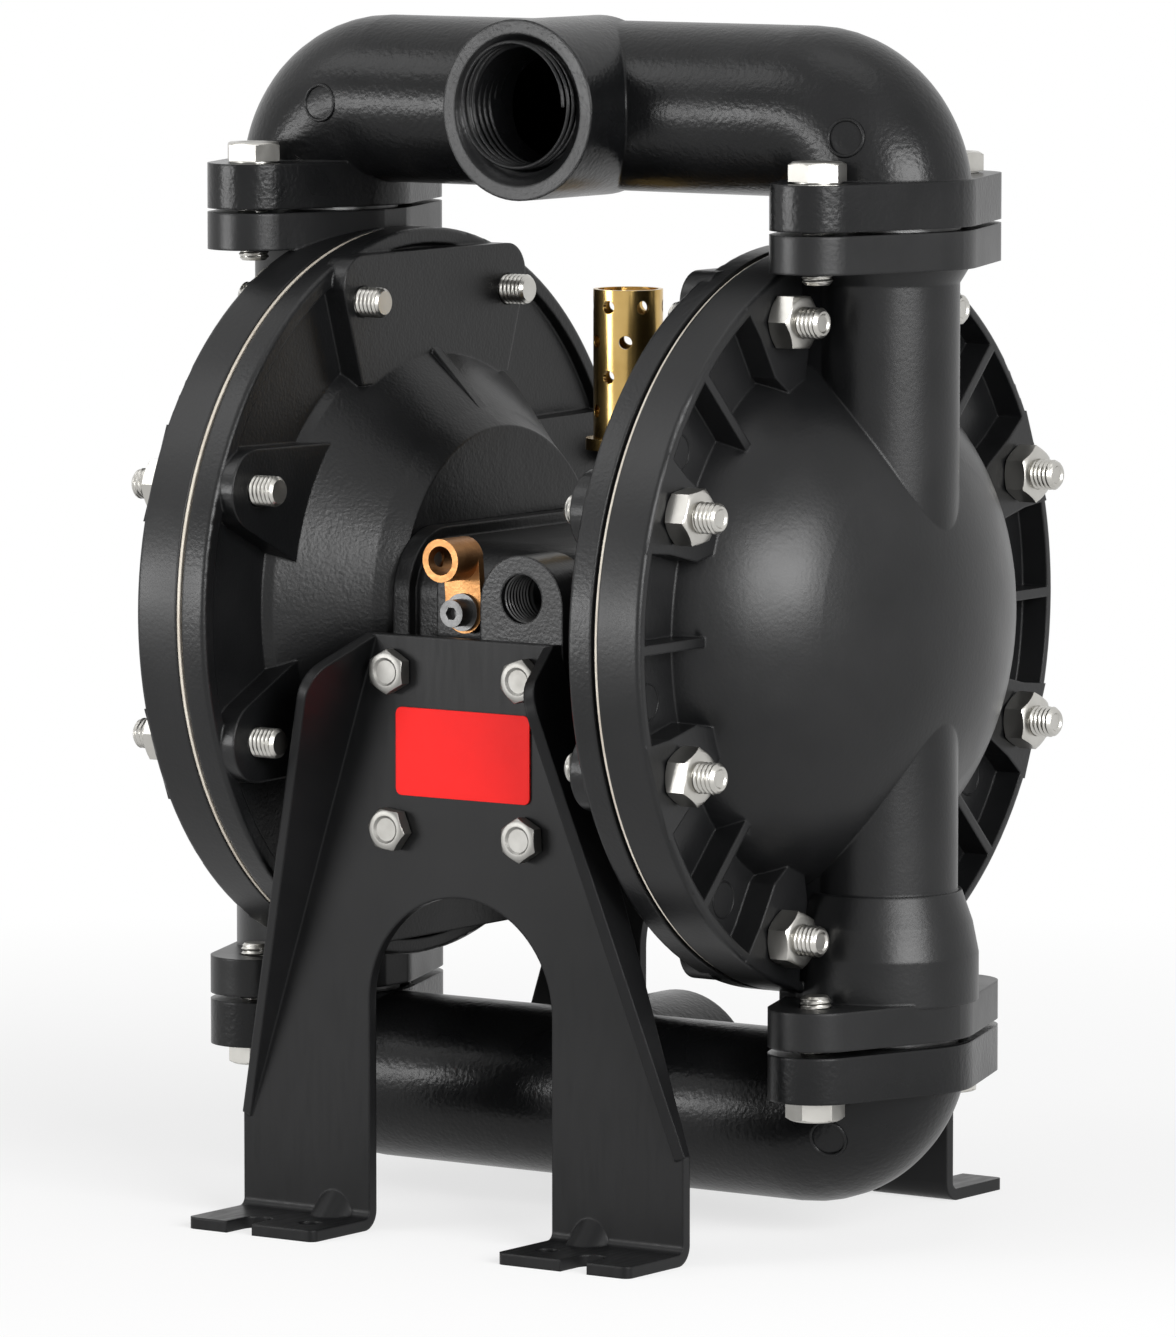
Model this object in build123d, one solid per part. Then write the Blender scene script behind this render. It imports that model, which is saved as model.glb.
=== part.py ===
from build123d import *
import math
import os

# Air operated double diaphragm pump, one inch ports, metal body.
# Frame: X runs along the diaphragm axis (right cap at +X), Y to the rear (outlet port at -Y),
# Z up. The origin lies on the floor under the middle of the pump. Millimetres.

# ---- overall layout ----
FLANGE_R = 95.0             # outside of every cap flange
COLUMN_X = 87.5             # centre of each fluid column, from the middle
INLET_Z = 30.0              # axis of the inlet manifold, above the floor
INLET_RISE = 23.4           # from there up to the lower joint
LOW_JOINT_DROP = 9.1        # lower joint below the edge of the flanges
TOP_JOINT_RISE = 4.6        # upper joint above the edge of the flanges
OUTLET_RISE = 28.7          # from the upper joint to the axis of the outlet manifold
LOW_JOINT_Z = INLET_Z + INLET_RISE                # underside of the fluid cap's lower ear
AXIS_Z = LOW_JOINT_Z + LOW_JOINT_DROP + FLANGE_R  # diaphragm axis above the floor
TOP_JOINT_Z = AXIS_Z + FLANGE_R + TOP_JOINT_RISE  # top of the fluid cap's upper ear
OUTLET_Z = TOP_JOINT_Z + OUTLET_RISE

# ---- clamped flanges and diaphragms ----
CLAMP_X = 63.0              # air side face of the diaphragm edge
BACKUP_T = 1.0              # rubber backup diaphragm
LINER_T = 1.0               # wetted diaphragm
SEAM_GAP = 0.05             # unclamped gap left between stacked flat pieces
DIAPHRAGM_R = FLANGE_R - 1.4
ROLL_H = 4.0                # rise of the diaphragm's ring shaped fold, and the run of each flank
ROLL_RUN = 7.0
ROLL_CLEAR = 3.5            # foot of the fold to the wall of the fluid chamber
RIM_WALL = 2.6
CAST_FILLET = 1.2
RIM_X = 77.6                # outer edge of the fluid cap rim
POCKET_X = 70.0             # floor of the pockets inside the rim

# ---- fluid cap ----
DOME_BASE_R = 70.0
DOME_APEX_X = 109.3
DOME_NOSE_R = 95.0          # large arc over the middle of the dome
DOME_SHOULDER_R = 55.0      # tighter arc down to the flange
CAP_WALL = 4.5
COLUMN_R = 18.6
COLUMN_BORE_R = 12.6
BULB_R = 24.0
BULB_STRAIGHT_Z = LOW_JOINT_Z + 20.6
BULB_TOP_Z = BULB_STRAIGHT_Z + 16.0
BULB_TAPER = 1.6
RIB_T = 2.5
BOSS_HALF = 10.0

# ---- ears that bolt caps to manifolds ----
EAR_R = 12.0
EAR_WAIST_R = 23.0
EAR_BOLT_Y = 31.4
TOP_JOINT_GAP = 1.0
CAP_EAR_TOP_T = 9.6
CAP_EAR_LOW_T = 9.8
MANIFOLD_EAR_T = 11.7
LOW_JOINT_GAP = 1.6

# ---- manifolds ----
TUBE_R = 21.7
TUBE_BORE_R = 16.5
BEND_R = 22.0
PORT_COLLAR_R = 23.0
PORT_FACE_Y = 37.0
PORT_BORE_R = 15.9          # one inch pipe thread, at its crest
PORT_THREAD_L = 17.0
PORT_CORE_R = 17.2          # cast bore behind the thread
PORT_MOUTH_R = 19.4

# ---- ball checks ----
BALL_R = 14.3
BALL_REST_GAP = 0.03
SEAT_R = 18.8
SEAT_BORE_R = 9.0
SEAT_MOUTH_R = 12.5
SEAT_H = 6.9
SEAT_FIT = 0.15
ORING_T = 2.4
ORING_EASE = 0.06
SEAT_GROOVE_DROP = 4.6      # floor of the ring's groove, below the face of the seat

# ---- studs, bolts and nuts ----
STUD_CIRCLE_R = FLANGE_R - 11.1
STUD_COUNT = 8
STUD_R = 4.0                # M8
THREAD_FIT = 0.06
PRESS_FIT = 0.02
CLEAR_FIT = 0.45
STUD_INNER_X = 45.0
STUD_OUTER_X = 90.0
M8_FLATS = 13.0
M8_NUT_H = 6.5
M8_HEAD_H = 5.3
M6_R = 3.0
M6_HEAD_R = 5.0
M6_HEAD_H = 4.0
M6_SOCKET_FLATS = 5.0
M6_BOLT_L = 14.0            # shank of a bracket bolt, and the depth of its hole
M4_R = 2.0
M4_HEAD_R = 3.5
M4_HEAD_H = 4.4
M4_SOCKET_FLATS = 3.0
SOCKET_CUT_H = 3.0
M4_WASHER_R = 4.8
M4_WASHER_T = 1.0
M6_FLATS = 10.0

# ---- air cap ----
AIR_FLOOR_X = 58.5          # pocket floor on the inner side of the flange
AIR_RIM_X = 56.0
AIR_TAB_X = 52.0            # faces of the stud tabs
AIR_CONE_BASE_R = 66.0
AIR_CONE_TOP_R = 47.5
AIR_CONE_TOP_X = 35.0
AIR_WALL = 4.5
AIR_RIB_HALF = 1.8
TAB_R = 10.5
WIDE_TAB_R = 8.0
WIDE_TAB_RISE = 4.0         # corner centres of the wide tab above its studs

# ---- centre body ----
BODY_HALF_X = 30.4
GASKET_T = 0.6
BODY_HALF_Y = 46.0
BODY_TOP = 18.0             # above the diaphragm axis
BODY_BOTTOM = -58.0
BODY_CORNER_R = 14.0
BODY_FLANGE_T = 5.0
BODY_FLANGE_GROW = 3.0
FRONT_PAD_Y = 59.2          # bolting faces for the brackets
PAD_HALF_X = 25.5
PAD_MARGIN = 9.0            # below the lower bracket bolts
PAD_TOP_DROP = 2.0          # below the top of the brackets

HUB_SCREW_REACH = 11.0      # thread inside the centre body
HUB_SCREWS = [(y, z) for y in (-22.0, 22.0) for z in (10.0, -30.0)]

# ---- rod, washers, pilot and spool ----
STROKE = 11.0               # each way from the middle
ROD_R = 7.0
ROD_FIT = 0.04
BUSH_R = 10.0
BUSH_L = 9.0
SEAL_L = 3.5
SEAL_FIT = 0.02
PLATE_SCREW_R = 4.9
PLATE_SCREW_REACH = 18.0    # thread inside the rod
PLATE_SCREW_FLATS = 16.0
PLATE_SCREW_HEAD_H = 6.0
PLATE_BORE_R = 5.2
PLATE_R = 32.0
INNER_PLATE_T = 6.0
OUTER_PLATE_T = 5.0
PILOT_Z = -24.0             # below the diaphragm axis
PILOT_R = 3.0
PILOT_SLEEVE_R = 5.5
PILOT_FIT = 0.04
PILOT_RATIO = 0.3
VALVE_Y = -33.0
VALVE_Z = 1.0
SPOOL_R = 7.5
SPOOL_FIT = 0.04
SPOOL_TRAVEL = 4.0
SLEEVE_R = 10.5
SLEEVE_HALF = 22.0
SPOOL_HALF = 17.0
GROOVE_PITCH = 9.5
GROOVE_HALF = 2.5
GROOVE_DEPTH = 3.0
SLEEVE_PORT_PITCH = 13.0
SLEEVE_PORT_R = 1.5
SLEEVE_PORT_COUNT = 6
PLUG_T = 5.0
STOP_GAP = 0.4

# ---- brackets ----
SHEET_T = 3.0
BEND_INNER_R = 2.0
BRACKET_TOP_Z = AXIS_Z - 4.1
BRACKET_TOP_HALF = 28.5
LEG_OUTER_X = 68.5
LEG_KNEE_Z = 27.0
LEG_INNER_X = 28.5
ARCH_SPRING_Z = 59.0
FOOT_Y = 86.5
WING_D = 20.0               # depth of the folded side wings at the top, clear of the plate
WING_LEAN = 10.0            # degrees that each wing opens outwards
WING_CHAMFER = 11.0
WING_CORNER_R = 9.0
BRACKET_BOLT_X = 20.5
BRACKET_BOLT_Z = (AXIS_Z - 53.5, AXIS_Z - 13.3)
FOOT_CORNER_R = 2.0
SLOT_X = 52.0
SLOT_Y = 79.0
SLOT_W = 8.0
FOOT_HOLE_X = 37.0
FOOT_HOLE_Y = 76.5
FOOT_HOLE_R = 3.0
GUSSET_X = 40.0             # pressed gusset in each foot's bend
GUSSET_R = 6.5
GUSSET_SINK = 1.4

# ---- fittings on the centre body ----
AIR_EAR_X = 17.0
AIR_EAR_HALF = 12.7
AIR_EAR_Z = 5.0             # centre of the rounded top, above the axis
AIR_PORT_Z = 6.8
AIR_PORT_R = 6.2            # quarter inch pipe thread, at its crest
AIR_THREAD_L = 12.5
THREAD_DEPTH = 0.8
AIR_EAR_T = 14.0
LUG_FACE_Y = 52.5
LUG_FACE_X = -14.0          # far edge of the face that carries the lug
LUG_FACE_RISE = 7.0
LUG_HOLE_D = 7.0
LUG_SCREW_X = -4.0
LUG_SCREW_Z = 2.0
LUG_BARREL_X = -5.0
LUG_BARREL_Z = 15.6
LUG_BARREL_R = 5.5
LUG_BORE_R = 3.7
LUG_BARREL_L = 11.0
LUG_STRAP_T = 2.2
EXHAUST_X = 0.0
EXHAUST_Y = 12.5
EXHAUST_BOSS_WALL = 6.0
EXHAUST_BOSS_RISE = 5.0
NIPPLE_R = 6.6
NIPPLE_BORE_R = 4.6
NIPPLE_TOP = 39.0
MUFFLER_R = 9.0
MUFFLER_WALL = 1.2
MUFFLER_TOP = 80.5
MUFFLER_COLLAR_R = 11.0
MUFFLER_COLLAR_T = 3.0
MUFFLER_HOLE_R = 1.7
MUFFLER_ROWS = 4
MUFFLER_ROW_HOLES = 6
MUFFLER_ROW_PITCH = 9.0
MUFFLER_FIRST_ROW = 7.0
MUFFLER_END_T = 1.0
MUFFLER_LIP = 1.0
LABEL_W = 41.5
LABEL_H = 22.5
LABEL_X = 1.2
LABEL_Z = AXIS_Z - 33.5
LABEL_T = 0.5

LINER_X = CLAMP_X + BACKUP_T            # inner face of the wetted diaphragm
CAP_FACE_X = LINER_X + LINER_T          # inner face of the fluid cap
HUB_X = BODY_HALF_X + GASKET_T + 2 * SEAM_GAP   # air cap face that bolts to the centre body
EAR_TOP_Z = TOP_JOINT_Z + TOP_JOINT_GAP
EAR_LOW_Z = LOW_JOINT_Z - LOW_JOINT_GAP
FAR = 400.0

nodes = {}


# ---- small helpers ----
def on_axis(shape):
    """Lift a shape drawn about the X axis to the height of the diaphragm axis."""
    return Pos(0, 0, AXIS_Z) * shape


def mirrored(shape):
    return mirror(shape, about=Plane.YZ)


def rod_x(x0, x1, radius, y=0.0, z=0.0):
    """Cylinder along X between two stations."""
    return Pos((x0 + x1) / 2, y, z) * Rot(0, 90, 0) * Cylinder(radius, abs(x1 - x0))


def rod_y(y0, y1, radius, x=0.0, z=0.0):
    return Pos(x, (y0 + y1) / 2, z) * Rot(90, 0, 0) * Cylinder(radius, abs(y1 - y0))


def rod_z(z0, z1, radius, x=0.0, y=0.0):
    return Pos(x, y, (z0 + z1) / 2) * Cylinder(radius, abs(z1 - z0))


def slab(x0, x1, y0, y1, z0, z1):
    return Pos((x0 + x1) / 2, (y0 + y1) / 2, (z0 + z1) / 2) * Box(x1 - x0, y1 - y0, z1 - z0)


def turned_x(points, rounded=(), radius=1.0):
    """Turn a closed outline of (x, radius) points about the X axis, with some corners rounded."""
    outline = make_face(Polyline(*[(x, 0, r) for x, r in points], close=True))
    for x, r in rounded:
        outline = fillet(outline.vertices().sort_by_distance((x, 0, r))[0], radius)
    return revolve(outline, axis=Axis.X)


def turned_z(points, x=0.0, y=0.0):
    """Turn a closed outline of (radius, z) points about a vertical axis."""
    outline = make_face(Polyline(*[(r, 0, z) for r, z in points], close=True))
    return Pos(x, y, 0) * revolve(outline, axis=Axis.Z)


def ring_x(x0, x1, outer, inner, y=0.0, z=0.0):
    return rod_x(x0, x1, outer, y, z) - rod_x(x0 - 1, x1 + 1, inner, y, z)


def stud_places():
    """(y, z) of the cap studs about the diaphragm axis."""
    step = 360 / STUD_COUNT
    angles = [math.radians(step * (i + 0.5)) for i in range(STUD_COUNT)]
    return [(STUD_CIRCLE_R * math.cos(a), STUD_CIRCLE_R * math.sin(a)) for a in angles]


def hexagon(flats, height, bore=0.0):
    """Hexagon prism standing on Z = 0 with its top corners chamfered."""
    corner = flats / math.sqrt(3)
    prism = extrude(RegularPolygon(corner, 6), height)
    lift = (corner - flats / 2) * math.tan(math.radians(30))
    crown = turned_z([(0, 0), (corner + 0.2, 0), (corner + 0.2, height - lift),
                      (flats / 2, height), (0, height)])
    prism &= crown
    if bore:
        prism -= Pos(0, 0, height / 2) * Cylinder(bore, height + 2)
    return prism


def socket_cut(flats):
    """Hexagon prism that cuts the socket of a screw, standing on Z = 0."""
    return extrude(RegularPolygon(flats / math.sqrt(3), 6), SOCKET_CUT_H)


# ---- fluid caps ----
def dome_outline(offset, start_x):
    """Half outline of the dome, drawn inwards by an offset: a nose arc and a shoulder arc."""
    nose_r = DOME_NOSE_R - offset
    shoulder_r = DOME_SHOULDER_R - offset
    nose_x = DOME_APEX_X - DOME_NOSE_R
    # the shoulder arc touches the nose arc inside and passes through the dome's base
    dx, dr = POCKET_X - nose_x, DOME_BASE_R
    span = math.hypot(dx, dr)
    gap = DOME_NOSE_R - DOME_SHOULDER_R
    along = (gap ** 2 - DOME_SHOULDER_R ** 2 + span ** 2) / (2 * span)
    across = math.sqrt(gap ** 2 - along ** 2)
    cx = nose_x + (dx * along + dr * across) / span
    cr = (dr * along - dx * across) / span
    turn = math.atan2(cr, cx - nose_x)
    base_turn = math.acos((start_x - cx) / shoulder_r)
    mid_turn = (turn + base_turn) / 2

    def shoulder(a):
        return (cx + shoulder_r * math.cos(a), 0, cr + shoulder_r * math.sin(a))

    def nose(a):
        return (nose_x + nose_r * math.cos(a), 0, nose_r * math.sin(a))

    start = shoulder(base_turn)
    curve = ThreePointArc(start, shoulder(mid_turn), nose(turn))
    curve += ThreePointArc(nose(turn), nose(turn / 2), nose(0))
    closing = Polyline(nose(0), (start[0], 0, 0), start)
    return make_face(curve + closing)


def ear_outline():
    """Lens of three circles: two bolt lugs and the waist round the bore."""
    lobes = [Pos(COLUMN_X, y) * Circle(r) for y, r in
             ((-EAR_BOLT_Y, EAR_R), (0, EAR_WAIST_R), (EAR_BOLT_Y, EAR_R))]
    return make_hull(ShapeList([e for lobe in lobes for e in lobe.edges()]))


def ear(z0, thickness):
    return Pos(0, 0, z0) * extrude(ear_outline(), thickness)


def bolt_holes(z0, z1, radius):
    return [rod_z(z0, z1, radius, COLUMN_X, y) for y in (-EAR_BOLT_Y, EAR_BOLT_Y)]


def fluid_cap():
    flange = turned_x([(CAP_FACE_X, 0), (CAP_FACE_X, FLANGE_R), (RIM_X, FLANGE_R),
                       (RIM_X, FLANGE_R - RIM_WALL), (POCKET_X, FLANGE_R - RIM_WALL),
                       (POCKET_X, 0)], [(RIM_X, FLANGE_R)], CAST_FILLET)
    body = flange + revolve(dome_outline(0, CAP_FACE_X), axis=Axis.X)
    # radial ribs between the studs, and the bosses that carry the nuts
    for i in range(STUD_COUNT):
        turn = 360 / STUD_COUNT * i
        rib = slab(POCKET_X - 1, RIM_X, DOME_BASE_R - 8, FLANGE_R - 1, -RIB_T / 2, RIB_T / 2)
        body += Rot(turn, 0, 0) * rib
        boss_outline = make_face(Polyline(
            (DOME_BASE_R - 10, 0), (DOME_BASE_R + 2, -BOSS_HALF * 0.8), (STUD_CIRCLE_R, -BOSS_HALF),
            (FLANGE_R - 1, -BOSS_HALF - 3), (FLANGE_R - 1, BOSS_HALF + 3), (STUD_CIRCLE_R, BOSS_HALF),
            (DOME_BASE_R + 2, BOSS_HALF * 0.8), close=True))
        boss = Pos(POCKET_X - 1, 0, 0) * Rot(0, 90, 0) * Rot(0, 0, 90) * extrude(
            boss_outline, RIM_X - POCKET_X + 1)
        body += Rot(turn + 180 / STUD_COUNT, 0, 0) * boss
    body = on_axis(body)
    # the column runs from the upper ear to the lower one with flat sides back to the flange
    top = TOP_JOINT_Z - CAP_EAR_TOP_T + 1
    low = LOW_JOINT_Z + CAP_EAR_LOW_T - 1
    body += rod_z(low, top, COLUMN_R, COLUMN_X)
    body += slab(POCKET_X - 1, COLUMN_X, -COLUMN_R + 2, COLUMN_R - 2, low, top)
    bulb = turned_z([(0, low), (BULB_R, low), (BULB_R, BULB_STRAIGHT_Z),
                     (BULB_R - BULB_TAPER, BULB_STRAIGHT_Z + 8),
                     (COLUMN_R + 1, BULB_TOP_Z), (0, BULB_TOP_Z)], COLUMN_X)
    bulb += slab(POCKET_X - 1, COLUMN_X, -BULB_R + 4, BULB_R - 4, low, BULB_STRAIGHT_Z + 4)
    body += bulb - slab(0, CAP_FACE_X, -FAR, FAR, 0, FAR)
    body += turned_z([(0, top - 5), (COLUMN_R, top - 5), (COLUMN_R + 3, top), (0, top)], COLUMN_X)
    ears = ear(TOP_JOINT_Z - CAP_EAR_TOP_T, CAP_EAR_TOP_T) + ear(LOW_JOINT_Z, CAP_EAR_LOW_T)
    ears -= slab(0, CAP_FACE_X, -FAR, FAR, 0, FAR)
    body += ears
    # pumping chamber
    body -= on_axis(revolve(dome_outline(CAP_WALL, CAP_FACE_X - 1), axis=Axis.X))
    # upper bore with the counterbore for the outlet seat
    body -= rod_z(AXIS_Z, TOP_JOINT_Z + 1, COLUMN_BORE_R, COLUMN_X)
    body -= rod_z(EAR_TOP_Z - SEAT_H, TOP_JOINT_Z + 1, SEAT_R + SEAT_FIT, COLUMN_X)
    # lower bore: the ball's chamber opens above a lip that holds the inlet seat down
    chamber_r = BULB_R - 5.5
    body -= turned_z([(0, LOW_JOINT_Z - 1), (TUBE_BORE_R, LOW_JOINT_Z - 1),
                      (TUBE_BORE_R, LOW_JOINT_Z + 3), (chamber_r, LOW_JOINT_Z + 5),
                      (chamber_r, BULB_STRAIGHT_Z + 2), (COLUMN_BORE_R, BULB_STRAIGHT_Z + 8),
                      (COLUMN_BORE_R, AXIS_Z), (0, AXIS_Z)], COLUMN_X)
    for y, z in stud_places():
        body -= rod_x(CAP_FACE_X - 1, STUD_OUTER_X, STUD_R + CLEAR_FIT, y, AXIS_Z + z)
    for hole in bolt_holes(TOP_JOINT_Z - 2 * CAP_EAR_TOP_T, TOP_JOINT_Z + 1, STUD_R + THREAD_FIT):
        body -= hole
    for hole in bolt_holes(LOW_JOINT_Z - 1, LOW_JOINT_Z + 2 * CAP_EAR_LOW_T, STUD_R + THREAD_FIT):
        body -= hole
    return body


# ---- diaphragms and what clamps them ----
def diaphragm(face_x, thickness):
    """Clamped flat edge, a convolution and a flat middle, as a turned sheet."""
    t = thickness
    x = face_x
    roll = ROLL_H
    # the fold rises into the fluid chamber, so its foot clears that chamber's wall
    foot_out, foot_in = DOME_BASE_R - CAP_WALL - ROLL_CLEAR, PLATE_R + 6
    outer = turned_x([(x, DIAPHRAGM_R), (x + t, DIAPHRAGM_R), (x + t, foot_out),
                      (x + t + roll, foot_out - ROLL_RUN), (x + t + roll, foot_in + ROLL_RUN),
                      (x + t, foot_in), (x + t, PLATE_BORE_R), (x, PLATE_BORE_R), (x, foot_in),
                      (x + roll, foot_in + ROLL_RUN), (x + roll, foot_out - ROLL_RUN), (x, foot_out)])
    for y, z in stud_places():
        outer -= rod_x(x - 1, x + t + 1, STUD_R + CLEAR_FIT, y, z)
    return on_axis(outer)


def inner_plate():
    x1 = CLAMP_X - SEAM_GAP
    x0 = x1 - INNER_PLATE_T
    disc = turned_x([(x0, ROD_R - 2), (x0, 18), (x1 - 3, PLATE_R - 2), (x1 - 1.5, PLATE_R),
                     (x1, PLATE_R), (x1, ROD_R - 2)])
    return on_axis(disc)


def outer_plate():
    x0 = CAP_FACE_X + SEAM_GAP
    x1 = x0 + OUTER_PLATE_T
    disc = turned_x([(x0, PLATE_BORE_R), (x0, PLATE_R), (x0 + 1.5, PLATE_R), (x0 + 3, PLATE_R - 2),
                     (x1, PLATE_R / 2), (x1, PLATE_BORE_R)])
    return on_axis(disc)


def diaphragm_screw():
    """Hex screw through both plates into the end of the rod."""
    seat = CAP_FACE_X + 2 * SEAM_GAP + OUTER_PLATE_T
    head = Pos(seat, 0, 0) * Rot(0, 90, 0) * hexagon(PLATE_SCREW_FLATS, PLATE_SCREW_HEAD_H)
    return on_axis(head + rod_x(CLAMP_X - INNER_PLATE_T - PLATE_SCREW_REACH, seat + 1, PLATE_SCREW_R))


def rod():
    end = CLAMP_X - INNER_PLATE_T - 2 * SEAM_GAP
    bar = rod_x(-end, end, ROD_R)
    for side in (-1, 1):
        bar -= rod_x(side * (end - PLATE_SCREW_REACH - 2), side * (end + 1), PLATE_SCREW_R + THREAD_FIT)
    return on_axis(bar)


# ---- air caps ----
def side_tab(sign_y, sign_z):
    """Tab for one of the four side studs: a level outer edge, and a spread towards the cone."""
    y, z = stud_places()[0]
    stud = Pos(y, z) * Circle(TAB_R)
    root = Line((AIR_CONE_BASE_R * 0.7, z + TAB_R - 0.5), (AIR_CONE_BASE_R * 0.91, z - 20))
    outline = make_hull(ShapeList([*stud.edges(), *root.edges()]))
    tab = Plane.YZ.offset(AIR_TAB_X) * extrude(outline, AIR_FLOOR_X - AIR_TAB_X + 1)
    if sign_y < 0:
        tab = mirror(tab, about=Plane.XZ)
    if sign_z < 0:
        tab = mirror(tab, about=Plane.XY)
    return tab


def wide_tab(sign_z):
    """Tab shared by the two studs at the top, and by the two at the bottom."""
    y, z = stud_places()[1]
    corners = [Pos(side * y, z + WIDE_TAB_RISE) * Circle(WIDE_TAB_R) for side in (-1, 1)]
    root = Line((-y, AIR_CONE_BASE_R - 10), (y, AIR_CONE_BASE_R - 10))
    outline = make_hull(ShapeList([*corners[0].edges(), *corners[1].edges(), *root.edges()]))
    tab = Plane.YZ.offset(AIR_TAB_X) * extrude(outline, AIR_FLOOR_X - AIR_TAB_X + 1)
    return mirror(tab, about=Plane.XY) if sign_z < 0 else tab


def air_cap():
    base = turned_x([(CLAMP_X, 0), (CLAMP_X, FLANGE_R), (AIR_RIM_X, FLANGE_R), (AIR_RIM_X, FLANGE_R - 4),
                     (AIR_FLOOR_X, FLANGE_R - 5), (AIR_FLOOR_X, AIR_CONE_BASE_R + 1.5),
                     (AIR_RIM_X, AIR_CONE_BASE_R), (AIR_CONE_TOP_X + 2, AIR_CONE_TOP_R + 1.5),
                     (AIR_CONE_TOP_X, AIR_CONE_TOP_R), (HUB_X, AIR_CONE_TOP_R - 3),
                     (HUB_X, 0)], [(AIR_RIM_X, FLANGE_R)], CAST_FILLET)
    for sign in (-1, 1):
        base += wide_tab(sign)
        base += side_tab(-1, sign) + side_tab(1, sign)
        # radial rib over the cone to the hub
        low, foot, crest = AIR_CONE_TOP_R / 2, AIR_CONE_BASE_R, AIR_CONE_TOP_R - 1.5
        rib = make_face(Polyline((AIR_TAB_X + 2, 0, sign * foot), (AIR_CONE_TOP_X - 1, 0, sign * crest),
                                 (HUB_X, 0, sign * (crest - 2)), (HUB_X, 0, sign * low),
                                 (AIR_TAB_X + 2, 0, sign * low), close=True))
        base += extrude(rib, AIR_RIB_HALF, both=True)
    # air chamber behind the diaphragm
    base -= turned_x([(CLAMP_X + 1, 0), (CLAMP_X + 1, AIR_CONE_BASE_R - AIR_WALL),
                      (AIR_RIM_X, AIR_CONE_BASE_R - AIR_WALL),
                      (AIR_CONE_TOP_X + AIR_WALL, AIR_CONE_TOP_R - AIR_WALL),
                      (AIR_CONE_TOP_X + AIR_WALL, 0)])
    base -= rod_x(BODY_HALF_X - 1, CLAMP_X, ROD_R + CLEAR_FIT)
    base -= rod_x(BODY_HALF_X - 1, CLAMP_X, PILOT_R + CLEAR_FIT, 0, PILOT_Z)
    for y, z in HUB_SCREWS:
        base -= rod_x(BODY_HALF_X, CLAMP_X, M6_R + CLEAR_FIT, y, z)
    for y, z in stud_places():
        base -= rod_x(STUD_INNER_X - 1, CLAMP_X + 1, STUD_R + THREAD_FIT, y, z)
    return on_axis(base)


# ---- centre body ----
def body_block(half_y, bottom, top, corner, x0, x1):
    outline = Pos(0, (bottom + top) / 2) * RectangleRounded(2 * half_y, top - bottom, corner)
    return Plane.YZ.offset(x0) * extrude(outline, x1 - x0)


def centre_body():
    grow = BODY_FLANGE_GROW
    core = body_block(BODY_HALF_Y, BODY_BOTTOM, BODY_TOP, BODY_CORNER_R, -BODY_HALF_X, BODY_HALF_X)
    for x0 in (-BODY_HALF_X, BODY_HALF_X - BODY_FLANGE_T):
        core += body_block(BODY_HALF_Y + grow, BODY_BOTTOM - grow, BODY_TOP + grow,
                           BODY_CORNER_R + grow, x0, x0 + BODY_FLANGE_T)
    pad_low = BRACKET_BOLT_Z[0] - PAD_MARGIN - AXIS_Z
    pad_top = BRACKET_TOP_Z - PAD_TOP_DROP - AXIS_Z
    core += slab(-PAD_HALF_X, PAD_HALF_X, -FRONT_PAD_Y, FRONT_PAD_Y, pad_low, pad_top)
    # flat face for the ground lug and the ear that carries the air inlet
    core += slab(LUG_FACE_X, AIR_EAR_X, -LUG_FACE_Y, -BODY_HALF_Y + 1, pad_top - 1,
                 LUG_SCREW_Z + LUG_FACE_RISE)
    ear_face = Pos(AIR_EAR_X, AIR_EAR_Z) * Circle(AIR_EAR_HALF)
    ear_face += Pos(AIR_EAR_X, AIR_EAR_Z - 10) * Rectangle(2 * AIR_EAR_HALF, 20)
    core += Plane.XZ.offset(FRONT_PAD_Y) * extrude(ear_face, -AIR_EAR_T)
    # exhaust boss on top
    boss_top = BODY_TOP + EXHAUST_BOSS_RISE
    core += rod_z(BODY_TOP - 2, boss_top, NIPPLE_R + EXHAUST_BOSS_WALL, EXHAUST_X, EXHAUST_Y)
    # bores: rod with its bushes, pilot, spool sleeve with end plugs
    length = BODY_HALF_X + 1
    core -= rod_x(-length, length, ROD_R + CLEAR_FIT)
    for side in (-1, 1):
        core -= rod_x(side * (BODY_HALF_X - BUSH_L - SEAL_L), side * length, BUSH_R + PRESS_FIT)
        for y, z in HUB_SCREWS:
            core -= rod_x(side * (BODY_HALF_X - HUB_SCREW_REACH - 1), side * length, M6_R + THREAD_FIT, y, z)
    core -= rod_x(-length, length, PILOT_SLEEVE_R, 0, PILOT_Z)
    core -= rod_x(-length, length, SLEEVE_R + PRESS_FIT, VALVE_Y, VALVE_Z)
    # air passage from the inlet ear to the spool, and exhaust up to the nipple
    core -= rod_y(-FRONT_PAD_Y - 1, AIR_THREAD_L - FRONT_PAD_Y, AIR_PORT_R, AIR_EAR_X, AIR_PORT_Z)
    core -= rod_y(-FRONT_PAD_Y, VALVE_Y, AIR_PORT_R - THREAD_DEPTH, AIR_EAR_X, AIR_PORT_Z)
    core -= rod_z(ROD_R + 3, boss_top + 1, NIPPLE_R + THREAD_FIT, EXHAUST_X, EXHAUST_Y)
    for side in (-1, 1):
        for x in (-BRACKET_BOLT_X, BRACKET_BOLT_X):
            for z in BRACKET_BOLT_Z:
                core -= rod_y(side * (FRONT_PAD_Y - M6_BOLT_L), side * (FRONT_PAD_Y + 1),
                              M6_R + THREAD_FIT, x, z - AXIS_Z)
    core -= rod_y(-LUG_FACE_Y - 1, LUG_HOLE_D - LUG_FACE_Y, M4_R + THREAD_FIT, LUG_SCREW_X, LUG_SCREW_Z)
    return on_axis(core)


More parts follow.
